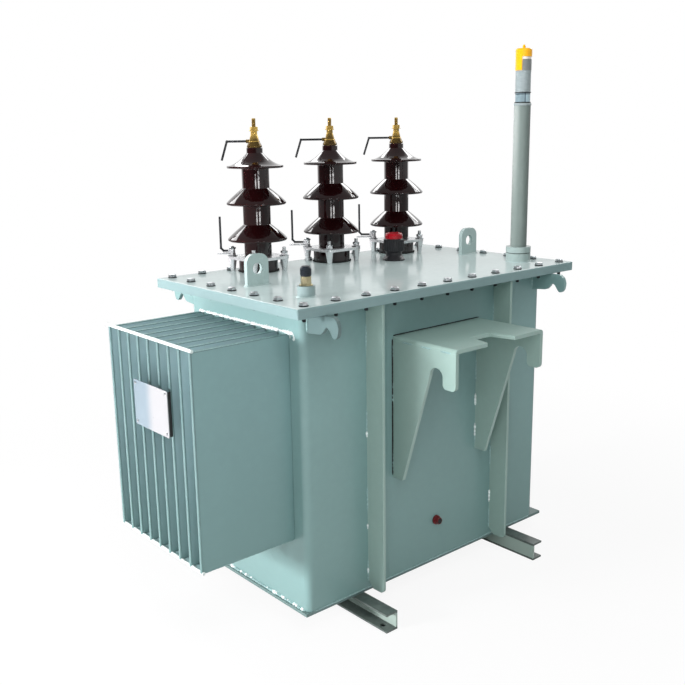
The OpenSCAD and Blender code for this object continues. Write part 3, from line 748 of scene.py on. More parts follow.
class Forge:
    """Gathers mesh parts, given in millimetres, and hands them over as one dressed piece."""

    def __init__(self) -> None:
        """Start an empty mesh."""
        self.bm = bmesh.new()

    @staticmethod
    def turn(axis: Vector, spin: float = 0.0) -> Matrix:
        """Return the rotation that takes Z to an axis, after a spin about Z."""
        to_axis = UP.rotation_difference(axis.normalized()).to_matrix()
        return (to_axis @ Matrix.Rotation(spin, 3, "Z")).to_3x3()

    @staticmethod
    def circle(at: Vector, turned: Matrix, radius: float, height: float,
               count: int) -> list[Vector]:
        """Place points on a circle.

        Args:
            at: Foot of the circle's axis.
            turned: The axis's rotation.
            radius: The circle's radius.
            height: Its distance along the axis.
            count: Number of points.

        Returns:
            The points.
        """
        angles = (2 * math.pi * i / count for i in range(count))
        return [at + turned @ Vector((radius * math.cos(t), radius * math.sin(t), height))
                for t in angles]

    def rings(self, rows: list[list[Vector]], caps: tuple[bool, bool] = (True, True)) -> None:
        """Skin a row of closed rings.

        Args:
            rows: Rings of points.
            caps: Whether the first and the last ring are filled.
        """
        made = [[self.bm.verts.new(p * MM) for p in row] for row in rows]
        count = len(made[0])
        for low, high in zip(made, made[1:]):
            for i in range(count):
                j = (i + 1) % count
                self.bm.faces.new((low[i], low[j], high[j], high[i]))
        if caps[0]:
            self.bm.faces.new(list(reversed(made[0])))
        if caps[1]:
            self.bm.faces.new(made[-1])

    def lathe(self, profile: Profile, at: Vector, axis: Vector = UP, count: int = 32,
              caps: tuple[bool, bool] = (True, True)) -> None:
        """Turn a profile of radius and height about an axis.

        Args:
            profile: Points of radius and height, from the foot up.
            at: Foot of the axis.
            axis: Direction of the axis.
            count: Points round each ring.
            caps: Whether the ends are filled.
        """
        turned = self.turn(axis)
        self.rings([self.circle(at, turned, r, h, count) for r, h in profile], caps)

    def hexagon(self, across: float, height: float, at: Vector, axis: Vector = UP,
                spin: float = 0.0, dome: float = 0.0) -> None:
        """Make a hexagon head or nut whose corners are turned down at the top.

        Args:
            across: Size across the flats.
            height: Height along the axis.
            at: Foot of the axis.
            axis: Direction of the axis.
            spin: Turn about the axis, in radians.
            dome: Height that the crown rises at its middle.
        """
        turned = self.turn(axis, spin)
        flat, count = across / 2, 36
        angles = [2 * math.pi * i / count for i in range(count)]
        sides = [flat / math.cos((t % (math.pi / 3)) - math.pi / 6) for t in angles]
        rows = [[(r, 0.0) for r in sides], [(r, height - 0.6 * (r - flat) - 0.3) for r in sides]]
        for share, lift in ((0.95, 0.0), (0.5, dome * 0.75), (0.12, dome)):
            rows.append([(flat * share, height + lift)] * count)
        self.rings([[at + turned @ Vector((r * math.cos(t), r * math.sin(t), h))
                     for t, (r, h) in zip(angles, row)] for row in rows])

    def washer(self, outer: float, thick: float, at: Vector, axis: Vector = UP,
               hole: float = 0.0) -> None:
        """Make a washer with eased edges.

        Args:
            outer: Outer diameter.
            thick: Thickness.
            at: Foot of the axis.
            axis: Direction of the axis.
            hole: Hole's diameter, or 0 for none.
        """
        r, ease = outer / 2, min(0.6, thick * 0.3)
        rows = [(r - ease, 0), (r, ease), (r, thick - ease), (r - ease, thick)]
        if hole:
            rows = [(hole / 2, 0)] + rows + [(hole / 2, thick), (hole / 2, 0)]
        self.lathe(rows, at, axis, 36, (not hole, not hole))

    def thread(self, across: float, length: float, at: Vector, axis: Vector = UP,
               pitch: float = 1.75) -> None:
        """Make a threaded end with a domed tip.

        Args:
            across: Diameter over the crests.
            length: Length along the axis.
            at: Foot of the axis.
            axis: Direction of the axis.
            pitch: Distance between crests.
        """
        r, deep = across / 2, pitch * 0.45
        rows: list[tuple[float, float]] = []
        turns = max(2, int((length - 1.2) / pitch))
        for i in range(turns):
            rows += [(r - deep, i * pitch), (r, (i + 0.42) * pitch), (r, (i + 0.58) * pitch)]
        rows += [(r - deep, turns * pitch), (r - deep * 1.4, length - 0.4), (r * 0.6, length)]
        self.lathe(rows, at, axis, 24)

    def bead(self, path: Path, radius: float, seed: float = 0.0, ripple: float = 0.16) -> None:
        """Lay a rippled weld bead along a path.

        Args:
            path: Corner points of the path.
            radius: Half width of the bead.
            seed: Shifts the ripple's noise.
            ripple: Share of the radius that the ripple takes.
        """
        corners = [Vector(corner) for corner in path]
        points: list[Vector] = []
        for a, b in zip(corners, corners[1:]):
            steps = max(2, int((b - a).length / 3.2))
            points += [a.lerp(b, i / steps) for i in range(steps)]
        points.append(corners[-1])
        last = len(points) - 1
        rows = []
        for i, p in enumerate(points):
            turned = self.turn(points[min(i + 1, last)] - points[max(i - 1, 0)])
            lump = 1.4 * noise.noise(p * 0.09 + Vector((seed, 0, 0)))
            wave = ripple * (math.sin(i * 1.9 + seed) * 0.6 + lump)
            ends = min(1.0, 0.45 + 0.4 * min(i, last - i))
            rows.append(self.circle(p, turned, radius * (1 + wave) * ends, 0, 10))
        self.rings(rows)

    def slab(self, size: Vector, at: Vector, turned: Matrix | None = None,
             ease: float = 1.0) -> None:
        """Make a block with eased edges.

        Args:
            size: Lengths along its three axes.
            at: Its middle.
            turned: Its rotation.
            ease: Width of the eased edges.
        """
        made = bmesh.ops.create_cube(self.bm, size=1.0)
        turn4 = (turned or Matrix.Identity(3)).to_4x4()
        pose = Matrix.Translation(at * MM) @ turn4 @ Matrix.Diagonal((*(size * MM), 1.0))
        bmesh.ops.transform(self.bm, matrix=pose, verts=made["verts"])
        edges = list({e for v in made["verts"] for e in v.link_edges})
        bmesh.ops.bevel(self.bm, geom=edges, offset=ease * MM, segments=2, affect="EDGES",
                        profile=0.5)

    def piece(self, name: str, finish: Finish, smooth: float = 35.0) -> None:
        """Hand over the gathered parts as one piece that rides on the body.

        Args:
            name: The piece's name.
            finish: Its finish.
            smooth: Edges sharper than this many degrees stay sharp.
        """
        bmesh.ops.recalc_face_normals(self.bm, faces=self.bm.faces)
        mesh = bpy.data.meshes.new(name)
        self.bm.to_mesh(mesh)
        self.bm.free()
        for polygon in mesh.polygons:
            polygon.use_smooth = True
        mesh.set_sharp_from_angle(angle=math.radians(smooth))
        mesh.materials.append(finish.material())
        made = bpy.data.objects.new(name, mesh)
        bpy.context.scene.collection.objects.link(made)
        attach(made, "root")
        LOG.info("%s: %d faces", name, len(mesh.polygons))


@dataclass
class NodeFinishes:
    """Gives each solid of the frame its finish, by its name or by the start of it."""

    plate_split: float = 0.45
    finishes: dict[str, Finish] = field(default_factory=lambda: {
        "base_channel": CHANNEL, "tank_floor": FLOOR, "tank_shell": TANK, "tank_flange": TANK,
        "cover_gasket": RUBBER, "cover": COVER, "cooling_fins": FINS, "fin_tie_rod": ROD_PAINT,
        "nameplate_bracket": TANK, "stiffener": BRACKET, "hanger": BRACKET,
        "lifting_hook": TANK, "lifting_hook_front_left": SHADED_HOOK, "lifting_lug": FITTING,
        "thermometer_pocket": POCKET, "thermometer_fitting": PALE_BRASS, "thermometer_cap": NAVY,
        "tap_changer_body": BLACK, "tap_changer_cap": RED, "filler_flange": FLANGE,
        "filler_pipe": PIPE, "filler_neck": NECK, "hv_porcelain": PORCELAIN, "hv_clamp": CLAMP,
        "hv_terminal": TERMINAL, "hv_upper_horns": HORN, "hv_lower_horns": HORN,
        "lv_insulators": PORCELAIN, "lv_terminals": BRASS, "drain_plug": PLUG})

    def choose(self, node: str) -> Finish:
        """Choose the finish of a node.

        Args:
            node: The node's name.

        Returns:
            Its finish.
        """
        low, high = span(node)
        if node == "nameplate":
            split = (high.y - (high.y - low.y) * self.plate_split) * MM
            # Painted reflection: the nameplate's cooler field starts at the split.
            return PlateCoating("plate_coating", Slot.PLATE_METAL, srgb(152, 155, 157), 0.3,
                                split, srgb(116, 134, 144))
        if node == "filler_cap":
            middle = (low + high) / 2 * MM
            return BandedCap("banded_cap", Slot.YELLOW_PLASTIC, srgb(246, 178, 24), 0.3,
                             low.z * MM, middle=(middle.x, middle.y))
        if node == "sight_glass":
            return BandedGlass("banded_glass", Slot.SIGHT_GLASS, srgb(128, 149, 156), 0.08,
                               low.z * MM)
        if node in self.finishes:
            return self.finishes[node]
        return next(made for start, made in self.finishes.items() if node.startswith(start))

    def dress(self) -> None:
        """Assign the finishes."""
        for node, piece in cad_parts.items():
            material = self.choose(node).material()
            if not piece.data.materials:
                piece.data.materials.append(material)
            for slot in piece.material_slots:
                slot.material = material
            LOG.info("%s: %s", node, material.name)


@dataclass
class CoverFasteners:
    """Bolts round the cover: heads and washers on top, bolt ends under the flange."""

    along: int = 11
    across: int = 7
    inset_end: float = 35.4
    inset_side: float = 22.7
    head: float = 18.0
    head_height: float = 6.5
    crown: float = 0.5
    washer_d: float = 23.0
    washer_thick: float = 2.2
    end_d: float = 9.8
    least_end: float = 8.0
    hang: float = 12.5

    def places(self) -> list[tuple[float, float]]:
        """Space the bolts along the cover's four sides.

        Returns:
            The bolts' places on the cover.
        """
        low, high = span("cover")
        x0, x1 = low.x + self.inset_end, high.x - self.inset_end
        y0, y1 = low.y + self.inset_side, high.y - self.inset_side
        spots = [(x0 + (x1 - x0) * i / (self.along - 1), y)
                 for i in range(self.along) for y in (y0, y1)]
        spots += [(x, y0 + (y1 - y0) * i / (self.across - 1))
                  for i in range(1, self.across - 1) for x in (x0, x1)]
        return spots

    def build(self) -> None:
        """Make the heads, the washers and the bolt ends."""
        rim, top = span("cover")[0].z, span("cover")[1].z
        under = span("tank_flange")[0].z
        reach = max(self.least_end, under - rim + self.hang)
        heads, ends, washers = Forge(), Forge(), Forge()
        for x, y in self.places():
            spin = noise.noise(Vector((x * 0.013, y * 0.017, 0.3))) * 3
            washers.washer(self.washer_d, self.washer_thick, Vector((x, y, top)))
            heads.hexagon(self.head, self.head_height, Vector((x, y, top + self.washer_thick)),
                          UP, spin, self.crown)
            ends.thread(self.end_d, reach, Vector((x, y, under + 0.5)), -UP)
        heads.piece("cover_bolt_heads", ZINC)
        washers.piece("cover_bolt_washers", DARK_STEEL)
        ends.piece("cover_bolt_ends", DARK_STEEL)


@dataclass
class WeldBeads:
    """Weld beads where sheets and brackets meet the tank."""

    size: float = 2.6
    fin_count: int = 9
    fin_thick: float = 9.0
    foot_reach: float = 52.0
    foot_thick: float = 1.8
    fin_seam: float = 1.7
    fin_weld: float = 4.0
    floor_seam: float = 2.1
    flange_weld: float = 3.0
    channel_weld: float = 2.0
    hanger_weld: float = 2.2
    stitch: float = 2.4
    bright_stitch: float = 2.8
    lug_weld: float = 3.0

    @staticmethod
    def row(forge: Forge, x: float, z: float, reach: tuple[float, float], run: float,
            stride: float, radius: float) -> None:
        """Lay short beads in a row across the tank.

        Args:
            forge: The mesh that takes them.
            x: Their place along the tank.
            z: Their height.
            reach: Where the first bead starts, and the place that no start passes.
            run: Length of a bead.
            stride: Distance from start to start.
            radius: Half width of a bead.
        """
        y, stop = reach
        while y < stop:
            forge.bead([(x, y, z), (x, y + run, z)], radius, y + x, 0.2)
            y += stride

    def fins(self) -> None:
        """Weld the fins to the end wall, seam their edges and close their feet."""
        low, high = span("cooling_fins")
        thick = self.fin_thick
        pitch = (high.y - low.y - thick) / (self.fin_count - 1)
        seams, bright, feet = Forge(), Forge(), Forge()
        for i in range(self.fin_count):
            y = low.y + thick / 2 + i * pitch
            for z in (low.z - 0.8, high.z - 0.6):
                for side in (-1, 1):
                    edge = y + side * self.size
                    seams.bead([(low.x + 9, edge, z), (high.x - 2, edge, z)], self.fin_seam,
                               i * 1.7 + side, 0.12)
            x, z, half = high.x - 0.6, high.z + 0.5, thick / 2 + 3
            bright.bead([(x, y - half, z), (x, y + half, z)], self.fin_weld, i * 2.3, 0.45)
        for i in range(self.fin_count - 1):
            y0, y1 = low.y + thick + i * pitch, low.y + (i + 1) * pitch
            feet.slab(Vector((self.foot_reach, y1 - y0 + 1.0, self.foot_thick)),
                      Vector((low.x + 2 + self.foot_reach / 2, (y0 + y1) / 2, low.z + 1.4)),
                      None, 0.5)
        feet.piece("fin_foot_strips", FINS)
        x, y, z = high.x + 0.2, low.y, high.z + 2.5
        bright.bead([(x, y - 16, z + 1), (x, high.y + 8, z)], 3.4, 4.0, 0.6)
        bright.bead([(x, y - 15, z), (x, y - 20, z - 9), (x, y - 16, z - 17)], 2.8, 7.0, 0.6)
        bright.bead([(x, y - 2, z), (x - 1, y - 5, z - 12)], 2.6, 2.0, 0.5)
        seams.piece("seam_fins", SEAM, WELD_SMOOTH)
        # The bright beads take the near-white weld colour, a painted highlight.
        bright.piece("weld_fins", WELD_HIGHLIGHT, WELD_SMOOTH)

    def tank(self) -> None:
        """Weld the wall to its floor and flange, and the floor to the channels."""
        low, high = span("tank_shell")
        floor_low, floor_high = span("tank_floor")
        welds, seams = Forge(), Forge()
        z = floor_high.z + 0.5
        for x in (low.x - 0.4, high.x + 0.4):
            seams.bead([(x, low.y + 16, z), (x, high.y - 16, z)], self.size + 0.8, x, 0.35)
            y = low.y + 18
            while y < high.y - 60:
                chance = abs(noise.noise(Vector((x * 0.01, y * 0.037, 0.0))))
                run = 8 + 26 * chance
                welds.bead([(x, y, z + 1.2), (x, y + run, z + 1.2)],
                           self.size * (1.0 + 1.9 * chance), y * 0.1, 0.5)
                y += run + 9 + 30 * abs(noise.noise(Vector((x * 0.02, y * 0.051, 4.0))))
        for y in (low.y - 0.4, high.y + 0.4):
            seams.bead([(low.x + 20, y, z), (high.x - 20, y, z)], self.floor_seam, y, 0.2)
        under = span("tank_flange")[0].z - 0.5
        for x in (low.x - 0.3, high.x + 0.3):
            welds.bead([(x, low.y + 18, under), (x, high.y - 18, under)], self.flange_weld, x, 0.3)
        for y in (low.y - 0.3, high.y + 0.3):
            welds.bead([(low.x + 18, y, under), (high.x - 18, y, under)], self.size, y + 2, 0.25)
        for node in ("base_channel_left", "base_channel_right"):
            foot_low, foot_high = span(node)
            for x in (foot_low.x, foot_high.x):
                self.row(welds, x, foot_high.z - 0.6, (floor_low.y + 14, floor_high.y - 50),
                         38, 110, self.channel_weld)
        # The weld lumps take the near-white weld colour, a painted highlight.
        welds.piece("weld_tank", WELD_HIGHLIGHT, WELD_SMOOTH)
        seams.piece("seam_floor", SEAM, WELD_SMOOTH)

    def stitches(self, forge: Forge, node: str, runs: list[tuple[float, float]]) -> None:
        """Lay upright beads by turns on the two faces of a plate on a long wall.

        Args:
            forge: The mesh that takes them.
            node: The plate's node.
            runs: Start and end of each bead, as shares of the plate's height.
        """
        wall_low, wall_high = span("tank_shell")
        low, high = span(node)
        y = wall_low.y - 0.4 if low.y < 0 else wall_high.y + 0.4
        tall = high.z - low.z
        for x, side in ((low.x, 0), (high.x, 1)):
            for a, b in runs[side::2]:
                foot = low.z + tall * a
                forge.bead([(x, y, foot), (x, y, low.z + tall * b)], self.stitch, foot + x, 0.25)

    def wall_fittings(self) -> None:
        """Weld the stiffeners, the hanger's cheeks and the hooks to the long walls, and lay dark
        beads as painted shade along the hanger.
        """
        seams, bright, joint = Forge(), Forge(), Forge()
        bars = ("stiffener_left", "stiffener_right")
        cheeks = ("hanger_cheek_left", "hanger_cheek_right")
        for node in bars:
            self.stitches(seams, node, [(0.02, 0.10), (0.06, 0.16), (0.28, 0.36), (0.32, 0.42),
                                        (0.55, 0.63), (0.6, 0.7), (0.84, 0.92), (0.88, 0.98)])
        for node in cheeks:
            self.stitches(seams, node, [(0.04, 0.2), (0.02, 0.14), (0.55, 0.7), (0.45, 0.58),
                                        (0.86, 0.98), (0.84, 0.97)])
        for row in ("front", "back"):
            for end in ("left", "right"):
                self.stitches(seams, "lifting_hook_" + row + "_" + end, [(0.05, 0.95)] * 2)
        top_low, top_high = span("hanger_top_plate")
        for node in cheeks:
            for corner in span(node):
                self.row(seams, corner.x, top_low.z - 0.4, (top_low.y + 16, top_high.y - 30),
                         34, 64, self.hanger_weld)
        inner = span(cheeks[1])[0].x - 0.5
        left, right = (span(node)[0].x - 0.5 for node in bars)
        y = span("tank_shell")[0].y - 0.6
        for x, foot, head in ((inner, 466, 500), (inner, 376, 414), (right, 158, 196),
                              (left, 470, 486), (left, 222, 236), (left, 96, 116)):
            bright.bead([(x, y, foot), (x, y, head)], self.bright_stitch, x, 0.4)
        # The bright stitches take the near-white weld colour, a painted highlight.
        bright.piece("weld_stitches", WELD_HIGHLIGHT, WELD_SMOOTH)
        seams.piece("seam_wall_fittings", SEAM, WELD_SMOOTH)
        # Painted shade: dark beads along the hanger's cheek and top plate at the wall stand for the
        # shadow gap there.
        cheek = span(cheeks[0])[0]
        x, y, z = cheek.x - 1.0, y + 0.1, top_high.z
        joint.bead([(x, y, cheek.z + 6), (x, y, z - 8)], 2.0, 3.0, 0.1)
        joint.bead([(top_low.x + 2, y, z + 1), (top_high.x - 2, y, z + 1)], 1.7, 5.0, 0.2)
        joint.piece("hanger_painted_shadow", RUBBER, WELD_SMOOTH)

    def cover(self) -> None:
        """Weld the lugs and the stubs to the cover."""
        top = span("cover")[1].z + 0.3
        forge = Forge()
        for node in ("lifting_lug_left", "lifting_lug_right"):
            low, high = span(node)
            forge.bead([(low.x, low.y, top), (high.x, low.y, top), (high.x, high.y, top),
                        (low.x, high.y, top), (low.x, low.y, top)], self.lug_weld, low.x, 0.2)
        for node in ("thermometer_pocket", "filler_flange"):
            low, high = span(node)
            middle, r = (low + high) / 2, (high.x - low.x) / 2
            angles = (2 * math.pi * i / 40 for i in range(41))
            forge.bead([(middle.x + r * math.cos(t), middle.y + r * math.sin(t), top)
                        for t in angles], self.stitch, r, 0.2)
        forge.piece("weld_cover", FITTING, WELD_SMOOTH)

    def build(self) -> None:
        """Lay all the beads."""
        self.fins()
        self.tank()
        self.wall_fittings()
        self.cover()


@dataclass
class BushingHardware:
    """Fastenings of the high-voltage bushings: gaskets, nuts, washers, threads, horn straps."""

    foot: float = 107.0
    stud_at: float = 51.0
    clamp_top: float = 42.0
    nut_top: float = 50.0
    stud_top: float = 66.0
    stud_d: float = 10.7
    stud_hole: float = 10.4
    stud_end: float = 16.0
    horn_end: float = 3.2
    washer_d: float = 27.0
    washer_thick: float = 2.0
    nut: float = 17.0
    nut_h: float = 5.5
    horn_nut_h: float = 4.5
    horn_reach: float = 104.0
    horn_reach_far: float = 116.0
    strap_past: float = 9.0
    strap_wide: float = 20.0
    strap_thick: float = 4.0
    terminal_z: float = 335.0
    terminal_h: float = 45.0
    terminal_nut: float = 19.0
    terminal_nut_h: float = 9.2
    terminal_washer: float = 2.2
    terminal_hole: float = 10.0
    thread_d: float = 10.9
    thread_end: float = 22.0
    thread_z: float = 9.0
    gasket: Profile = ((0.4, 0), (3.2, 0.8), (3.6, 2.6), (2.4, 4.2), (0.4, 4.4))
    collar: Profile = ((14.2, 0), (15.2, 0.7), (15.2, 2.2), (14.2, 3))
    collar_z: float = 14.0

    def axes(self) -> list[Vector]:
        """Return the bushings' feet on the cover."""
        top = span("cover")[1].z
        return [stand("hv_porcelain_" + name, top) for name in "abc"]

    def studs(self, zinc: Forge, foot: Vector) -> None:
        """Make the washers, nuts and stud ends of one clamp.

        Args:
            zinc: The mesh that takes them.
            foot: The bushing's foot.
        """
        for sx in (-1, 1):
            for sy in (-1, 1):
                at = foot + Vector((sx * self.stud_at, sy * self.stud_at, 0))
                zinc.washer(self.washer_d, self.washer_thick, at + rise(self.clamp_top), UP,
                            self.stud_hole)
                if sx < 0 < sy:
                    zinc.thread(self.stud_d, self.horn_end, at + rise(self.stud_top - 1))
                    zinc.hexagon(self.nut, self.horn_nut_h,
                                 at + rise(self.stud_top - self.horn_nut_h), UP, 0.3)
                else:
                    zinc.thread(self.stud_d, self.stud_end, at + rise(self.nut_top))
                    zinc.hexagon(self.nut, self.nut_h, at + rise(self.nut_top), UP, 0.4 + sx + sy)

    def build(self) -> None:
        """Make the fastenings."""
        joints, zinc, brass, dark, straps = (Forge() for _ in range(5))
        out = Vector((-math.sqrt(0.5), math.sqrt(0.5), 0))
        for index, foot in enumerate(self.axes()):
            joints.lathe([(self.foot / 2 + r, h) for r, h in self.gasket], foot, UP, 64, OPEN_ENDS)
            self.studs(zinc, foot)
            reach = self.horn_reach if index == 0 else self.horn_reach_far
            start, end = self.stud_at * math.sqrt(2) + self.strap_past, reach + self.strap_past
            straps.slab(Vector((end - start, self.strap_wide, self.strap_thick)),
                        foot + out * ((start + end) / 2) + rise(self.nut_top - 1),
                        Matrix.Rotation(math.radians(135), 3, "Z"), 1.2)
            top = foot + rise(self.terminal_z + self.terminal_h)
            brass.washer(self.washer_d, self.terminal_washer, top - rise(self.terminal_washer),
                         UP, self.terminal_hole)
            brass.hexagon(self.terminal_nut, self.terminal_nut_h, top, UP, 0.2 + index)
            dark.thread(self.thread_d, self.thread_end, top + rise(self.thread_z))
            brass.lathe(self.collar, foot + rise(self.terminal_z + self.collar_z), UP, 40,
                        OPEN_ENDS)
        joints.piece("bushing_gaskets", RUBBER)
        zinc.piece("bushing_clamp_nuts", ZINC)
        brass.piece("terminal_nuts", BRASS)
        dark.piece("terminal_threads", BRONZE)
        straps.piece("horn_straps", CLAMP)


@dataclass
class TapSwitch:
    """Grip ribs and pointer of the tap changer."""

    ribs: int = 22
    grip_r: float = 27.8
    rib_z: float = 29.0
    rib: Profile = ((0.5, -1), (2.3, 1.5), (2.3, 29), (1.2, 32.5))
    hub: Profile = ((4.2, 0), (4.6, 1.2), (4.2, 2.8), (1.0, 3.4))
    hub_sunk: float = 6.0
    pointer: Triple = (16, 3.2, 2.4)
    pointer_sunk: float = 4.6
    pointer_turn: float = 0.6

    def build(self) -> None:
        """Make the ribs and the pointer."""
        ribs, marks = Forge(), Forge()
        foot = stand("tap_changer_body", span("tap_changer_body")[0].z)
        for at in Forge.circle(foot, Matrix.Identity(3), self.grip_r, self.rib_z, self.ribs):
            ribs.lathe(self.rib, at, UP, 10)
        ribs.piece("tap_grip_ribs", BLACK)
        top = span("tap_changer_cap")[1].z
        marks.slab(Vector(self.pointer), Vector((foot.x - 2, foot.y, top - self.pointer_sunk)),
                   Matrix.Rotation(self.pointer_turn, 3, "Z"), 0.6)
        marks.lathe(self.hub, Vector((foot.x, foot.y, top - self.hub_sunk)), UP, 20)
        marks.piece("tap_pointer", RED)


@dataclass
class FillerFittings:
    """The flange's joint, the neck's rings and the sight glass's seals on the filler pipe."""

    joint: Profile = ((32.6, 24.7), (34.0, 24.9), (34.0, 26.3), (32.6, 26.5))
    collar: Profile = ((23.2, -7), (24.4, -6.4), (24.4, -1.4), (23.2, -0.8))
    neck_ring: Profile = ((20.9, 0), (21.6, 0.5), (21.6, 2.2), (20.9, 2.8))
    seal: Profile = ((21.1, 0), (22.4, 0.4), (22.4, 2.0), (21.1, 2.4))

    def build(self) -> None:
        """Make the filler's small parts."""
        axis = stand("filler_flange")
        joint, rings, seals = Forge(), Forge(), Forge()
        joint.lathe(self.joint, axis + rise(span("filler_flange")[0].z), UP, 64, OPEN_ENDS)
        joint.piece("filler_joint", RUBBER)
        rings.lathe(self.collar, axis + rise(span("filler_pipe")[1].z), UP, 48, OPEN_ENDS)
        neck_low, neck_high = span("filler_neck")
        for z in (neck_low.z + 0.6, neck_high.z - 4):
            rings.lathe(self.neck_ring, axis + rise(z), UP, 48, OPEN_ENDS)
        rings.piece("filler_neck_rings", NECK)
        sight_low, sight_high = span("sight_glass")
        for z in (sight_low.z + 0.2, sight_high.z - 2.6):
            seals.lathe(self.seal, axis + rise(z), UP, 48, OPEN_ENDS)
        seals.piece("sight_glass_seals", RUBBER)


@dataclass
class Thermometer:
    """Knurled grip and sealing ring of the thermometer fitting."""

    notches: int = 24
    grip_r: float = 12.2
    grip_z: float = 3.0
    notch: Profile = ((0.3, -0.5), (1.2, 0.6), (1.2, 13.5), (0.3, 15))
    ring: Profile = ((14.6, 0), (16.2, 0.5), (16.2, 2.4), (14.6, 2.9))

    def build(self) -> None:
        """Make the grip and the ring."""
        axis, foot = stand("thermometer_cap"), span("thermometer_cap")[0].z + self.grip_z
        grip, ring = Forge(), Forge()
        for at in Forge.circle(axis, Matrix.Identity(3), self.grip_r, foot, self.notches):
            grip.lathe(self.notch, at, UP, 8)
        grip.piece("thermometer_grip", NAVY)
        ring.lathe(self.ring, axis + rise(span("thermometer_fitting")[0].z), UP, 40, OPEN_ENDS)
        ring.piece("thermometer_ring", PALE_BRASS)


@dataclass
class LowVoltageHardware:
    """Flange rings, nuts, washers and threads of the low-voltage terminals."""

    count: int = 4
    spacing: float = 110.0
    height: float = 690.0
    length: float = 92.0
    ring: Profile = ((42.4, 0.3), (49, 0.3), (50, 1.3), (50, 8.6), (48.6, 10), (42.4, 10))
    ring_thick: float = 10.0
    ring_nuts: int = 3
    ring_nut_at: float = 46.2
    ring_nut: float = 10.0
    ring_nut_h: float = 5.0
    washer_d: float = 36.0
    washer_thick: float = 2.6
    washer_at: float = 17.2
    hole: float = 16.4
    nut: float = 27.0
    nut_h: float = 10.0
    nut_at: float = 19.8
    end_d: float = 16.8
    end_length: float = 19.5
    end_at: float = 30.0
    end_pitch: float = 2.0

    def build(self) -> None:
        """Make the fastenings."""
        middle, wall = stand("lv_terminals").x, span("tank_shell")[1].y
        out = Vector((0, 1, 0))
        rings, brass = Forge(), Forge()
        for i in range(self.count):
            x = middle + (i - (self.count - 1) / 2) * self.spacing
            at = Vector((x, wall, self.height))
            rings.lathe(self.ring, at, out, 64, OPEN_ENDS)
            for k in range(self.ring_nuts):
                t, r = math.radians(90 + 120 * k), self.ring_nut_at
                spot = at + Vector((r * math.cos(t), self.ring_thick, r * math.sin(t)))
                rings.hexagon(self.ring_nut, self.ring_nut_h, spot, out, t)
            end = at + out * self.length
            brass.washer(self.washer_d, self.washer_thick, end + out * self.washer_at, out,
                         self.hole)
            brass.hexagon(self.nut, self.nut_h, end + out * self.nut_at, out, 0.5 + i)
            brass.thread(self.end_d, self.end_length, end + out * self.end_at, out, self.end_pitch)
        rings.piece("lv_flange_rings", CLAMP)
        brass.piece("lv_terminal_nuts", BRASS)


@dataclass
class PlateFixings:
    """Rivets of the nameplate, a dark strip at its edge as painted shade, and the drain plug's
    socket.
    """

    edge: float = 8.0
    shadow_strip_depth: float = 8.0
    shadow_strip_wide: float = 2.4
    rivet: Profile = ((3.6, 0), (3.4, 0.8), (2.4, 1.7), (0.8, 2.1))
    socket: float = 15.0
    socket_rise: float = 1.2

    def build(self) -> None:
        """Make the rivets, the dark shadow strip and the socket."""
        low, high = span("nameplate")
        rivets, strip, socket = Forge(), Forge(), Forge()
        for y in (low.y + self.edge, high.y - self.edge):
            for z in (low.z + self.edge, high.z - self.edge):
                rivets.lathe(self.rivet, Vector((low.x, y, z)), Vector((-1, 0, 0)), 20)
        rivets.piece("nameplate_rivets", ZINC)
        # Painted shade: a dark strip behind the plate's edge stands for the shadow there.
        strip.slab(Vector((self.shadow_strip_depth, self.shadow_strip_wide, high.z - low.z - 4)),
                   Vector((high.x + self.shadow_strip_depth / 2, low.y + 1.4, (low.z + high.z) / 2)),
                   None, 0.6)
        strip.piece("nameplate_shadow_strip", RUBBER)
        low, high = span("drain_plug")
        socket.hexagon(self.socket, self.socket_rise,
                       Vector(((low.x + high.x) / 2, low.y + 0.6, (low.z + high.z) / 2)),
                       Vector((0, -1, 0)), 0.3)
        socket.piece("drain_plug_socket", RUBBER)


@dataclass(frozen=True)
class Lamp:
    """One soft rectangular lamp: it lights surfaces, or it only shows in gloss."""

    name: str
    at: Vector
    aim: Vector
    size: tuple[float, float]
    power: float
    gloss_only: bool = False
    tint: Colour = (1, 1, 1)

    def build(self) -> None:
        """Add the lamp to the scene."""
        data = bpy.data.lights.new(self.name, "AREA")
        data.shape = "RECTANGLE"
        data.size, data.size_y = self.size
        data.energy = self.power
        data.color = self.tint
        made = bpy.data.objects.new(self.name, data)
        made.location = self.at
        made.rotation_euler = (self.aim - self.at).to_track_quat("-Z", "Y").to_euler()
        made.visible_glossy, made.visible_diffuse = self.gloss_only, not self.gloss_only
        bpy.context.scene.collection.objects.link(made)


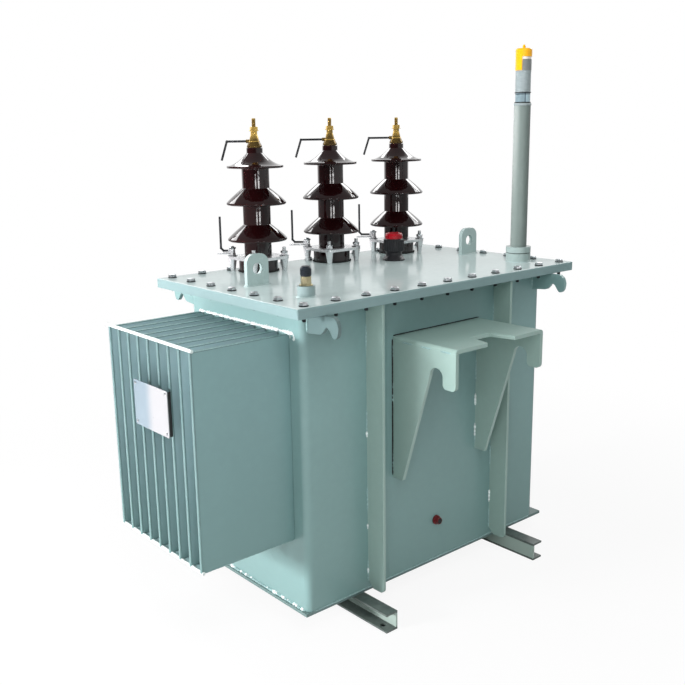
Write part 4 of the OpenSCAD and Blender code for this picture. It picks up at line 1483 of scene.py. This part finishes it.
@dataclass
class Studio:
    """Floor, soft light and the camera at the photograph's angle."""

    place: Triple = (-1.6885, -1.8305, 1.2198)
    yaw: float = 49.54
    pitch: float = 13.32
    roll: float = -0.91
    lens: float = 47.5
    backdrop: Triple = (0.65, 0.76, 0.0)
    hall: Triple = (0.5, -0.866, 0.0)
    hall_light: float = 0.5
    sky: float = 0.2
    fill: float = 0.3
    dim: float = 0.06
    bushing_row: tuple[float, float] = (0.02, 0.18)
    floor_size: float = 14.0
    floor_white: float = 0.86

    def camera(self) -> None:
        """Set the camera."""
        y, p, roll = (math.radians(angle) for angle in (self.yaw, self.pitch, self.roll))
        ahead = Vector((math.cos(p) * math.cos(y), math.cos(p) * math.sin(y), -math.sin(p)))
        right = ahead.cross(UP).normalized()
        up = right.cross(ahead)
        rolled_right = math.cos(roll) * right + math.sin(roll) * up
        rolled_up = -math.sin(roll) * right + math.cos(roll) * up
        made = bpy.data.objects.new("camera", bpy.data.cameras.new("camera"))
        made.data.lens = self.lens
        made.data.sensor_width = 36.0
        made.data.clip_end = 60.0
        pose = Matrix((rolled_right, rolled_up, -ahead)).transposed().to_4x4()
        pose.translation = Vector(self.place)
        made.matrix_world = pose
        bpy.context.scene.collection.objects.link(made)
        bpy.context.scene.camera = made

    def world(self) -> None:
        """Fill the surroundings: white to the camera and behind in gloss, softer as light."""
        made = bpy.data.worlds.new("surroundings")
        bpy.context.scene.world = made
        made.use_nodes = True
        g = Graph(made.node_tree)
        seen = g.ray("Is Camera Ray").most(g.ray("Is Transmission Ray"))
        way = g.signal(g.node("ShaderNodeTexCoord"), "Generated")
        white = g.dot(way, self.backdrop).between(0.35, 0.75)
        wall = self.hall_light * g.dot(way, self.hall).between(0.55, 0.9)
        above = self.sky * g.part(way, "Z").between(0.15, 0.7)
        bright = white.most(wall.most(above))
        mirrored = g.ray("Is Glossy Ray")
        gloss = mirrored * (self.dim + (1 - self.dim) * bright)
        strength = (self.fill * (1 - mirrored) + gloss).most(seen)
        back = g.node("ShaderNodeBackground", None,
                      {"Color": (1.0, 1.0, 1.0), "Strength": strength})
        g.node("ShaderNodeOutputWorld", None, {"Surface": g.signal(back)})

    def floor(self) -> None:
        """Lay the pale floor, white to the camera with the shadow kept, and painted shade under the
        feet.
        """
        bm = bmesh.new()
        bmesh.ops.create_grid(bm, x_segments=4, y_segments=4, size=self.floor_size)
        mesh = bpy.data.meshes.new("floor")
        bm.to_mesh(mesh)
        bm.free()
        made = bpy.data.objects.new("floor", mesh)
        material = bpy.data.materials.new("pale_floor")
        material.use_nodes = True
        g = Graph(material.node_tree)
        seen = g.ray("Is Camera Ray").most(g.ray("Is Transmission Ray"))
        far = g.node("ShaderNodeVectorMath", {"operation": "LENGTH"}, {0: g.place()})
        share = 0.9 + 0.1 * g.signal(far, "Value").between(0.7, 2.2)
        # Painted shade: under the channels' feet the floor is near black and does not glow.
        low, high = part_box("base_channel_right")
        side = abs(g.axis("X"))
        under = (side > low[0] + 0.004) * (side < high[0] - 0.001)
        under = under * (abs(g.axis("Y")) < high[1] - 0.002)
        ground = g.mix(under, (self.floor_white,) * 3, (0.02, 0.02, 0.02))
        diffuse = g.node("ShaderNodeBsdfDiffuse", None, {"Color": ground})
        glow = g.node("ShaderNodeEmission", None, {"Color": (1.0, 1.0, 1.0), "Strength": 1.0})
        mixed = g.node("ShaderNodeMixShader", None, {0: seen * (share * (1 - under)),
                                                     1: g.signal(diffuse), 2: g.signal(glow)})
        g.node("ShaderNodeOutputMaterial", None, {"Surface": g.signal(mixed)})
        mesh.materials.append(material)
        bpy.context.scene.collection.objects.link(made)

    def around(self, turn: float, reach: float, slope: float, height: float) -> Vector:
        """Find a place round the middle bushing.

        Args:
            turn: Direction in degrees.
            reach: Distance along the ground in metres.
            slope: Rise for each metre of reach.
            height: Height at the bushing.

        Returns:
            The place.
        """
        t = math.radians(turn)
        way = Vector((math.cos(t), math.sin(t), slope))
        return Vector((*self.bushing_row, height)) + reach * way

    def lamps(self) -> list[Lamp]:
        """List the lamps.

        Returns:
            The lamps that light surfaces, then the panels and panes that the glaze mirrors.
        """
        centre, deck = rise(0.8), rise(0.9)
        made = [
            Lamp("key_window", Vector((-3.7, 0.9, 1.05)), Vector((-0.4, 0, 0.5)), (0.8, 0.6), 192,
                 tint=(1.0, 0.94, 0.96)),
            Lamp("front_left_fill", Vector((-2.6, -2.6, 2.0)), centre, (1.8, 1.6), 30),
            Lamp("front_ceiling", Vector((-1.2, -2.0, 3.5)), rise(0.6), (1.6, 1.4), 36),
            Lamp("back_window", Vector((1.0, 4.2, 1.8)), centre, (3.2, 1.6), 22),
            Lamp("ceiling_left", Vector((-1.3, 1.3, 3.9)), deck, (1.0, 2.6), 30),
            Lamp("ceiling_right", Vector((1.5, -1.1, 3.9)), deck, (1.0, 2.6), 16)]
        for side, at in (("left", Vector((1.24, 3.8, 3.3))), ("right", Vector((3.7, 1.5, 3.3)))):
            made.append(Lamp("edge_panel_" + side, at, Vector((0, 0.2, 1.05)), (1.6, 1.2), 30,
                             True))
        for side, turn in (("left", self.yaw + 56.0), ("right", self.yaw - 56.0)):
            made.append(Lamp("roof_panel_" + side, self.around(turn, 3.6, 0.49, 1.2),
                             Vector((*self.bushing_row, 1.2)), (1.4, 1.6), 35, True))
        for turn, wide in ((-130.0, 0.5), (-106.0, 0.72)):
            for high in (0.69, 0.90):
                made.append(Lamp("pane_%d_%d" % (-turn, round(high * 100)),
                                 self.around(turn, 3.2, 0.0, high),
                                 Vector((*self.bushing_row, high + 0.15)), (wide, 0.08),
                                 wide * 2.6, True))
        return made

    def build(self) -> None:
        """Set camera, floor, surroundings and lamps."""
        self.camera()
        self.floor()
        self.world()
        for lamp in self.lamps():
            lamp.build()
        bpy.context.scene.view_settings.view_transform = "Standard"


def main() -> None:
    """Build and dress the transformer."""
    logging.basicConfig(level=logging.INFO, format="%(message)s")
    Studio().build()
    NodeFinishes().dress()
    for part in (CoverFasteners(), WeldBeads(), BushingHardware(), TapSwitch(), FillerFittings(),
                 Thermometer(), LowVoltageHardware(), PlateFixings()):
        LOG.info("building %s", type(part).__name__)
        part.build()


if __name__ == "__main__":
    main()
